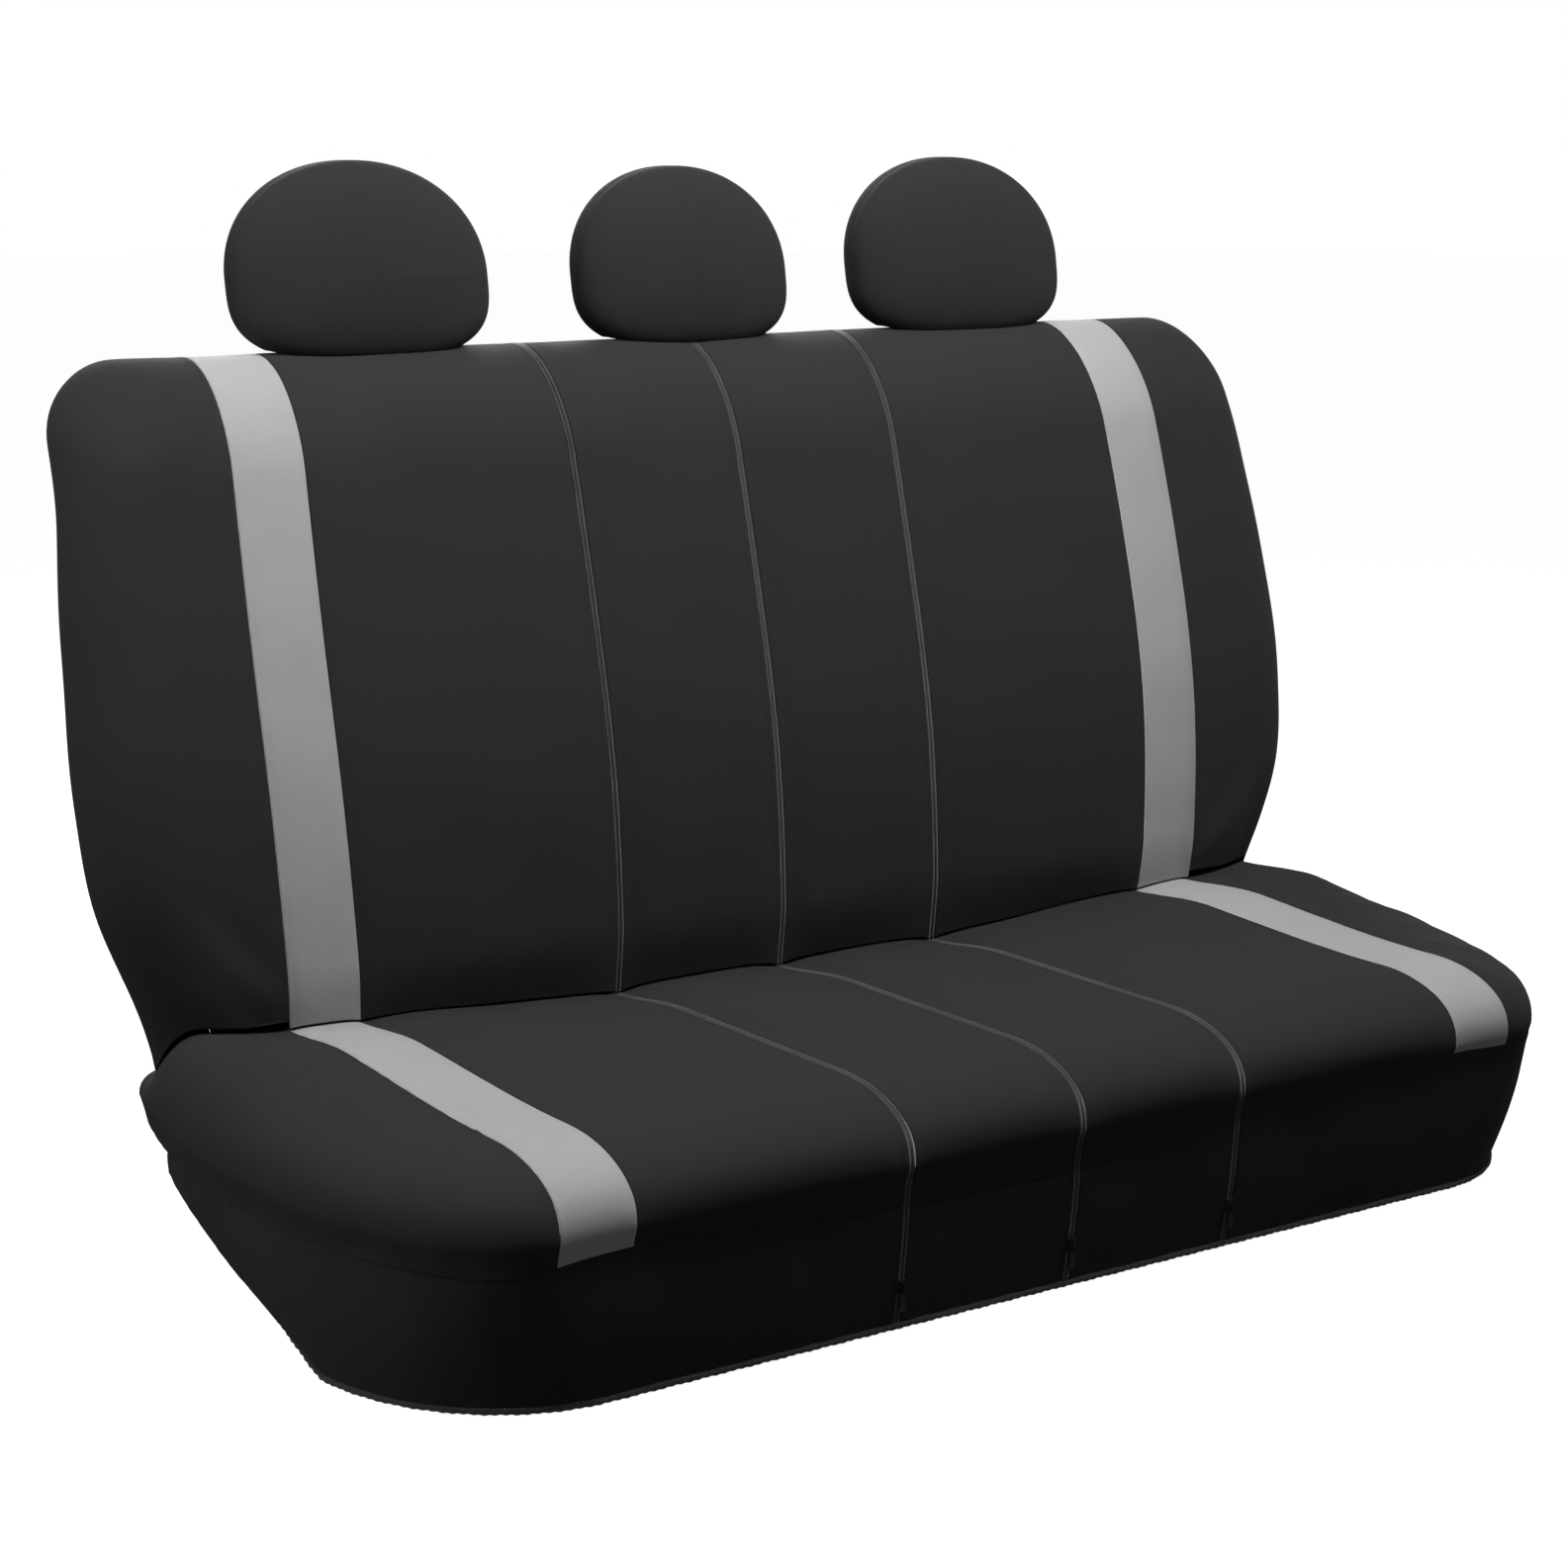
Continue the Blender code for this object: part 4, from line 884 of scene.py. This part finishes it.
def flap_grid(x):
    """Side flap of a section: the section's outline, drawn in by the flap's inset."""
    top = BACK_TOP - FLAP_INSET
    rows = []
    crest = top - 0.001 - 0.09 * (1 - np.linspace(0, 1, 22)**0.6)
    for z in np.append(np.arange(FLAP_BOTTOM, BACK_TOP - 0.1, 0.012), crest):
        inset = max(top - z, 0.0)
        front = back_y(z, np.array(-share_of(inset, BACK_FRONT_ROUND - FLAP_INSET)))
        rear = back_y(z, np.array(share_of(inset, BACK_REAR_ROUND - FLAP_INSET)))
        rows.append(points(x, np.linspace(float(front) + FLAP_INSET, float(rear) - FLAP_INSET, 16), z))
    return np.array(rows)


# ------------------------------------------------------------------------------ zips

def zip_section(reach, half):
    """Heights across a zip at distances from its middle: coil, groove, cord and tape."""
    return ((0.00015 if half else 0.0, -0.0006), (0.0005, -0.0003), (0.0009, -0.0007), (0.0012, -0.0014),
            (0.0015, -0.0004), (0.0019, 0.0003), (0.0023, 0.0005), (0.0027, 0.0001), (0.0030, -0.0010),
            (reach, -0.0014), (reach + 0.0001, -0.0040), (reach + 0.0014, -0.0042))


def zip_strip(node, x_mid, side, rows_at, inside):
    """A zip seen from outside, whole (side 0) or the half on one side of its middle."""
    section = zip_section(ZIP_HALF - 0.0001, side != 0)
    right = [(x_mid + d, h) for d, h in section]
    left = [(x_mid - d, h) for d, h in reversed(section)]
    places = {1: right, -1: left, 0: left[:-1] + right}[side]
    xs, heights = (np.array(values) for values in zip(*places))
    base = rows_at(xs)
    grid = base + grid_normals(base, inside) * heights[None, :, None]
    piece = shell(f"{node}_tape", grid, inside, [LOOKS["tape"], LOOKS["tape"], LOOKS["cord"]],
                  thickness=0.0008)
    middles = np.abs((xs[:-1] + xs[1:]) / 2 - x_mid)
    # The faces on the raised beads get the lighter cord colour, partly a painted highlight.
    cord = (middles > CORD_FROM) & (middles < CORD_TO)
    slots = np.zeros(len(piece.data.polygons), np.int32)
    slots[:(grid.shape[0] - 1) * len(cord)] = np.tile(np.where(cord, 2, 0), grid.shape[0] - 1)
    piece.data.polygons.foreach_set("material_index", slots)
    place(piece, node)


def cushion_rows(xs):
    """Rows for a cushion zip at those X: up the skirt, over the front edge and back."""
    seam_z = float(front_seam(xs.mean()))
    rows = []
    for z in np.linspace(HEM_LOW, seam_z, 22)[:-1]:
        share = (z - HEM_LOW) / (SEAM_Z - HEM_LOW)
        y = -(HEM_FRONT + (CUSHION_FRONT - SEAM_TUCK - HEM_FRONT) * share)
        rows.append(points(xs, y - FRONT_BULGE * math.sin(math.pi * min(share, 1.0)), z))
    rows += [points(xs, wall_inset(z) - CUSHION_FRONT, z) for z in np.linspace(seam_z, CUSHION_EDGE_Z, 5)]
    return np.array(rows + cushion_top_rows(xs, False))


def back_rows(xs):
    """Rows for a back zip at those X: up the front, over the crest, down to the foot."""
    whole = back_strip(float(xs.min()), float(xs.max()), BACK_REAR_FOOT[1], 0.0)
    return points(xs, whole[:, :1, 1], whole[:, :1, 2])


# ------------------------------------------------------------------------- headrests

def headrest_outline(width, height, count):
    """A D lying on its flat side: (x, z) from the middle, z up from the base."""
    half, waist = width / 2, HEADREST_WAIST * height
    outline = []
    for k in range(count):
        turn = 2 * math.pi * k / count
        c, s = math.cos(turn), math.sin(turn)
        power = 0.96 if s >= 0 else 0.55
        x = half * math.copysign(abs(c)**power, c)
        if s < 0:
            x *= 1 - 0.14 * s * s
        reach = height - waist if s >= 0 else waist
        outline.append((x, waist + reach * math.copysign(abs(s)**power, s)))
    return np.array(outline)


def headrest_half(x_mid, width, height, sign, node):
    """Front (-1) or rear (+1) half of a headrest cover, open at the base.

    The front half's mouth droops over the curve of the crest.
    """
    outline = headrest_outline(width, height, 168)
    centre = np.array((0.0, HEADREST_WAIST * height))
    half = HEADREST_DEPTH / 2
    levels = [(1.0, d) for d in SEAM_STEPS[:-2]]
    for turn in np.linspace(0, 88, 34):
        a = math.radians(turn)
        levels.append((math.cos(a)**0.8, HEADREST_RIM + (half - HEADREST_RIM) * math.sin(a)))
    rings = []
    for scale, depth in levels:
        roll = -float(rolled(np.array(depth), "seam"))
        flat = centre + (outline - centre) * (scale * (1 - roll / (0.45 * width)))
        rings.append(points(flat[:, 0], sign * (depth + SEAM_GAP), flat[:, 1]))
    rings = np.array(rings)
    count = len(outline)
    verts = [*rings.reshape(-1, 3), np.array((centre[0], sign * half, centre[1]))]
    closed = np.concatenate([rings, rings[:, :1]], axis=1)
    lengths = grid_lengths(closed)
    uv = points(lengths["first_col"][:, :-1], lengths["first_row"][:, :-1]).reshape(-1, 2)
    last, pole = (len(levels) - 1) * count, len(verts) - 1
    around = [(k, (k + 1) % count) for k in range(count)]
    faces = [(r + k, r + n, r + count + n, r + count + k) for r in range(0, last, count) for k, n in around]
    faces += [(last + k, last + n, pole) for k, n in around]
    faces = faces if sign < 0 else [face[::-1] for face in faces]
    materials = [LOOKS["black"], LOOKS["lining"]]
    piece = build_mesh(f"{node}_cloth", verts, faces, np.vstack([uv, uv[-1:]]), materials)
    bm = bmesh.new()
    bm.from_mesh(piece.data)
    bmesh.ops.bisect_plane(bm, geom=bm.verts[:] + bm.edges[:] + bm.faces[:], dist=1e-6,
                           plane_co=(0, 0, HEADREST_CUT), plane_no=(0, 0, -1), clear_outer=True)
    for vert in bm.verts:
        y, z = vert.co.y - CREASE_Y, vert.co.z
        if sign < 0:
            vert.co.z -= HEADREST_DROOP * y * y * max(0.0, 1 - (z - HEADREST_CUT) / DROOP_HEIGHT)
        vert.co.y += vert.co.z * math.tan(HEADREST_LEAN)
    bmesh.ops.translate(bm, verts=bm.verts, vec=(x_mid, HEADREST_Y, HEADREST_BASE - HEADREST_CUT))
    area = sum(f.calc_area() for f in bm.faces)
    bm.to_mesh(piece.data)
    bm.free()
    thick = piece.modifiers.new("cloth", "SOLIDIFY")
    thick.thickness = CLOTH
    thick.offset = -1
    thick.material_offset = 1
    place(piece, node)
    declare(width + half, height + half, area)


# ------------------------------------------------------------------ straps, hem, flap

def build_hem():
    """Elastic gathered into the skirt's hem: a cord with fine ruffles."""
    _, base = skirt_paths(0.0)
    half = points(base[:, 0], -base[:, 1], hem_height(-base[:, 1]) - HEM_R + HEM_LAP)
    route = np.vstack([half, half[-2::-1] * (-1, 1, 1)])
    lengths = along(route)
    places = np.arange(0, lengths[-1], 0.0022)
    line = points(*(np.interp(places, lengths, route[:, k]) for k in range(3)))
    forward = np.gradient(line, axis=0)
    forward /= np.linalg.norm(forward, axis=1, keepdims=True)
    side = np.cross(forward, (0, 0, 1))
    side /= np.linalg.norm(side, axis=1, keepdims=True)
    up = np.cross(side, forward)
    rows = []
    for turn in np.linspace(0, 2 * math.pi, 13):
        ruffle = 0.00045 * np.sin(places * 2 * math.pi / 0.0085 + 1.2 * math.sin(turn))
        radius = HEM_R - 0.0002 + ruffle + 0.0002 * np.sin(places * 210)
        radius = radius[:, None]
        rows.append(line + side * (radius * math.cos(turn)) + up * (radius * math.sin(turn)))
    grid = np.array(rows)[:-1]
    count, cols = grid.shape[:2]
    verts = [*grid.reshape(-1, 3), line[0], line[-1]]
    faces = []
    for r in range(count):
        n = (r + 1) % count
        for k in range(cols - 1):
            faces.append((r * cols + k, n * cols + k, n * cols + k + 1, r * cols + k + 1))
        faces.append((count * cols, n * cols, r * cols))
        faces.append((count * cols + 1, r * cols + cols - 1, n * cols + cols - 1))
    uv = [(turn * 0.0015, place_v) for turn in range(count) for place_v in places] + [(0, 0), (0, 0)]
    piece = build_mesh("hem_elastic_gathered", verts, faces, uv, [LOOKS["elastic"]], sharp=80)
    place(piece, "hem_elastic")


def build_strap(side):
    """Flat woven elastic across the open underside."""
    low, high = (Vector(p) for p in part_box(f"strap_{side}"))
    xs = stations(low.x, high.x, 0.003)
    ys = np.linspace(low.y, high.y, 90) - CREASE_Y
    rows = []
    for y in ys:
        share = (y - ys[0]) / (ys[-1] - ys[0])
        z = high.z - 0.0004 - 0.0020 * math.sin(math.pi * share) + 0.0002 * np.sin((xs - low.x) * 1400)
        rows.append(points(xs, y, z))
    node = f"strap_{side}"
    mid = ((low.x + high.x) / 2, float(ys.mean()), low.z - 0.1)
    piece = shell(f"{node}_webbing", np.array(rows), mid, [LOOKS["elastic"]] * 2, thickness=0.0014)
    place(piece, node)


def build_rear_flap():
    """The flap behind the cushion, which hangs to the floor in shallow folds."""
    low, high = (Vector(p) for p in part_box("cushion_rear_panel"))
    xs = stations(low.x, high.x, 0.008)
    rows = []
    for z in stations(float(low.z), float(high.z)):
        fall = 1 - (z - low.z) / (high.z - low.z)
        wave = 0.0040 * np.sin(xs * 29.0 + 0.6) + 0.0018 * np.sin(xs * 61.0 + 2.0 * fall)
        rows.append(points(xs, high.y - CREASE_Y + wave * fall, z))
    lay("cushion_rear_panel", np.array(rows), (0, -0.2, 0.1), LOOKS["lining"],
        ("edge", None, "edge", "edge"))


# -------------------------------------------------------------------------- building

ZIP_EDGE = ZIP_HALF + 2 * SEAM_GAP
SPANS = (("mid", ZIP_EDGE, SPLIT_X - ZIP_EDGE, ("zip", "zip")),
         ("main", SPLIT_X + ZIP_EDGE, STRIPE_IN - SEAM_GAP, ("zip", "seam")),
         ("stripe", STRIPE_IN + SEAM_GAP, STRIPE_OUT - SEAM_GAP, ("seam", "seam")))


def spans(side, sign):
    """Name, low and high X and the kinds of the low and high seams, on one side."""
    for name, x_in, x_out, kinds in SPANS:
        low, high = sorted((sign * x_in, sign * x_out))
        low_kind, high_kind = kinds if sign > 0 else kinds[::-1]
        yield name, low, high, low_kind, high_kind


def build_cushion():
    """The cushion cover: top panels, skirt, straps, zips, rear flap and hem."""
    inside = (0, -0.2, 0.05)
    for side, sign in SIDES:
        for name, low, high, low_kind, high_kind in spans(side, sign):
            stripe = name == "stripe"
            lay(f"cushion_{name}_{side}", cushion_strip(low, high), inside,
                LOOKS["grey" if stripe else "black"], ("seam", "edge", low_kind, high_kind),
                CUSHION_CROWN / 3 if stripe else CUSHION_CROWN, cushion_fade, height=0.0004,
                pale=STRIPE_PAINTED_HIGHLIGHT * stripe)
        beside = (sign * 0.4, -0.2, 0.05)
        lay(f"cushion_outer_{side}", cushion_end(sign), beside, LOOKS["black"],
            ("seam", "seam", "edge", "seam"), marks=mirrored(END_FOLDS, sign), height=0.0007)
        skirt = skirt_grid(*skirt_paths(SPLIT_X + ZIP_EDGE), sign)
        lay(f"skirt_outer_{side}", skirt, beside, LOOKS["black"], ("edge", "seam", "edge", "zip"),
            marks=mirrored(SKIRT_FOLDS, sign), height=0.0008)
        low, high = sorted((sign * ZIP_EDGE, sign * (SPLIT_X - ZIP_EDGE)))
        lay(f"skirt_mid_{side}", skirt_middle(low, high), inside, LOOKS["black"],
            ("edge", "seam", "zip", "zip"), height=0.0006)
        build_strap(side)
    for side, x in (("left", -SPLIT_X), ("centre", 0.0), ("right", SPLIT_X)):
        zip_strip(f"cushion_zip_{side}", x, 0, cushion_rows, (x, -0.2, 0.05))
    build_rear_flap()
    build_hem()


def build_back():
    """The back cover's three sections, with their zips."""
    inside = (0, 0.08, 0.4)
    for side, sign in SIDES:
        for name, low, high, low_kind, high_kind in spans(side, sign):
            stripe = name == "stripe"
            swell = 1 / 3 if stripe else 1.0
            lay(f"back_{name}_{side}", back_strip(low, high, crown=CUSHION_CROWN * swell), inside,
                LOOKS["grey" if stripe else "black"], ("edge", "seam", low_kind, high_kind),
                BACK_CROWN * swell, back_fade, height=0.0004, pale=STRIPE_PAINTED_HIGHLIGHT * stripe)
        lay(f"back_outer_{side}", back_end(sign), (sign * 0.45, 0.08, 0.4), LOOKS["black"],
            ("seam", "seam", "edge", "seam"), marks=mirrored(BACK_FOLDS, sign), height=0.0006)
        rears = (("rear", SPLIT_X + ZIP_EDGE, side_rear_edge),
                 ("rear_mid", ZIP_EDGE, lambda z: SPLIT_X - ZIP_EDGE))
        for name, x_in, x_out_at in rears:
            lay(f"back_{name}_{side}", rear_grid(sign, x_in, x_out_at), inside, LOOKS["lining"],
                ("edge", "seam", "seam", "seam"))
        for name, way, centre_x in (("side", 1, sign * 0.4), ("centre", -1, 0)):
            lay(f"back_{name}_flap_{side}", flap_grid(sign * (SPLIT_X + way * (ZIP_HALF + 2 * CLOTH))),
                (centre_x, 0.1, 0.4), LOOKS["lining"], ("edge", None, None, None))
        for name, way in (("side", sign), ("centre", -sign)):
            zip_strip(f"back_{name}_zip_{side}", sign * SPLIT_X, way, back_rows, inside)
    zip_strip("back_zip_centre", 0.0, 0, back_rows, inside)


def build_headrests():
    """Three headrest covers, each a front and a rear half."""
    for side, shift in (("left", 0.0), ("centre", CENTRE_SHIFT), ("right", 0.0)):
        low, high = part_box(f"headrest_rear_{side}")
        height = float(high.z) - HEADREST_BASE + HEADREST_CUT
        x_mid = float(low.x + high.x) / 2 + shift
        for face, sign in (("front", -1), ("rear", 1)):
            headrest_half(x_mid, float(high.x - low.x), height, sign, f"headrest_{face}_{side}")


def finish_hardware():
    """Hooks, zip sliders and pulls keep their CAD shape and get their finish."""
    for name, node in frame["nodes"].items():
        look = {"hook_plastic": "hook", "zip_metal": "metal"}.get(NODE_SLOTS[name])
        if look:
            node.data.materials.clear()
            node.data.materials.append(LOOKS[look])


# ------------------------------------------------------------------ camera and studio

def build_camera():
    """The camera, high to the left of the front."""
    camera = bpy.data.objects.new("camera", bpy.data.cameras.new("camera"))
    camera.data.lens = CAMERA_LENS
    camera.data.sensor_width = CAMERA_SENSOR
    camera.location = CAMERA_SPOT
    camera.rotation_euler = (CAMERA_TILT, 0.0, CAMERA_TURN)
    bpy.context.scene.collection.objects.link(camera)
    bpy.context.scene.camera = camera


def area_light(name, spot, aim, size, power):
    """A soft box that faces its aim and that the camera doesn't see."""
    light = bpy.data.lights.new(name, "AREA")
    light.shape = "RECTANGLE"
    light.size, light.size_y = size
    light.energy = power
    lamp = bpy.data.objects.new(name, light)
    lamp.location = spot
    lamp.rotation_euler = (Vector(aim) - Vector(spot)).to_track_quat("-Z", "Y").to_euler()
    lamp.visible_camera = False
    bpy.context.scene.collection.objects.link(lamp)


def build_world():
    """A dim studio with a pale wall round the horizon."""
    world = bpy.data.worlds.new("studio")
    bpy.context.scene.world = world
    world.use_nodes = True
    tree = world.node_tree
    sight = tree.nodes.new("ShaderNodeTexCoord")
    part = tree.nodes.new("ShaderNodeSeparateXYZ")
    ramp = tree.nodes.new("ShaderNodeValToRGB")
    ramp.color_ramp.elements[0].position = WALL_TOP
    ramp.color_ramp.elements[0].color = (1.0, 1.0, 1.0, 1)
    ramp.color_ramp.elements[1].position = WALL_TOP + WALL_FADE
    ramp.color_ramp.elements[1].color = (0.06, 0.06, 0.061, 1)
    tree.links.new(sight.outputs["Generated"], part.inputs["Vector"])
    above = tree.nodes.new("ShaderNodeMath")
    above.operation = "ABSOLUTE"
    tree.links.new(part.outputs["Z"], above.inputs[0])
    tree.links.new(above.outputs[0], ramp.inputs["Fac"])
    tree.links.new(ramp.outputs["Color"], tree.nodes["Background"].inputs["Color"])
    tree.nodes["Background"].inputs["Strength"].default_value = 1.0


def stage_sheet(name, base, glow):
    """Make the mesh just added a white sheet, which glows to the camera and doesn't light the covers."""
    sheet = bpy.context.object
    sheet.name = name
    paper = Nodes(name + "_paper", Base_Color=(base, base, base, 1), Roughness=0.95, Specular_IOR_Level=0.0,
                  Emission_Color=(1.0, 1.0, 1.0, 1), Emission_Strength=glow)
    sheet.data.materials.append(paper.material)
    sheet.visible_diffuse = False
    sheet.visible_glossy = False
    return sheet


def build_studio():
    """White floor and backdrop, and three soft boxes."""
    bpy.ops.mesh.primitive_plane_add(size=FLOOR_SIZE, location=(0, 0, -0.0002))
    stage_sheet("studio_floor", 0.30, 0.96)
    bpy.ops.mesh.primitive_uv_sphere_add(segments=48, ring_count=24, radius=BACKDROP_RADIUS)
    backdrop = stage_sheet("studio_backdrop", 0.0, 1.0)
    backdrop.visible_shadow = False
    build_world()
    area_light("key_softbox", (0.0, -0.54, 2.05), (0.0, 0.05, 0.30), (2.6, 0.6), 75)
    area_light("left_softbox", (-2.4, 0.3, 1.3), (-0.5, 0.1, 0.5), (0.5, 1.6), 26)
    area_light("rear_softbox", (0.8, 2.6, 1.9), (0.0, 0.2, 0.4), (2.0, 1.2), 90)
    bpy.context.scene.view_settings.view_transform = "Standard"


build_camera()
build_cushion()
build_back()
build_headrests()
finish_hardware()
build_studio()
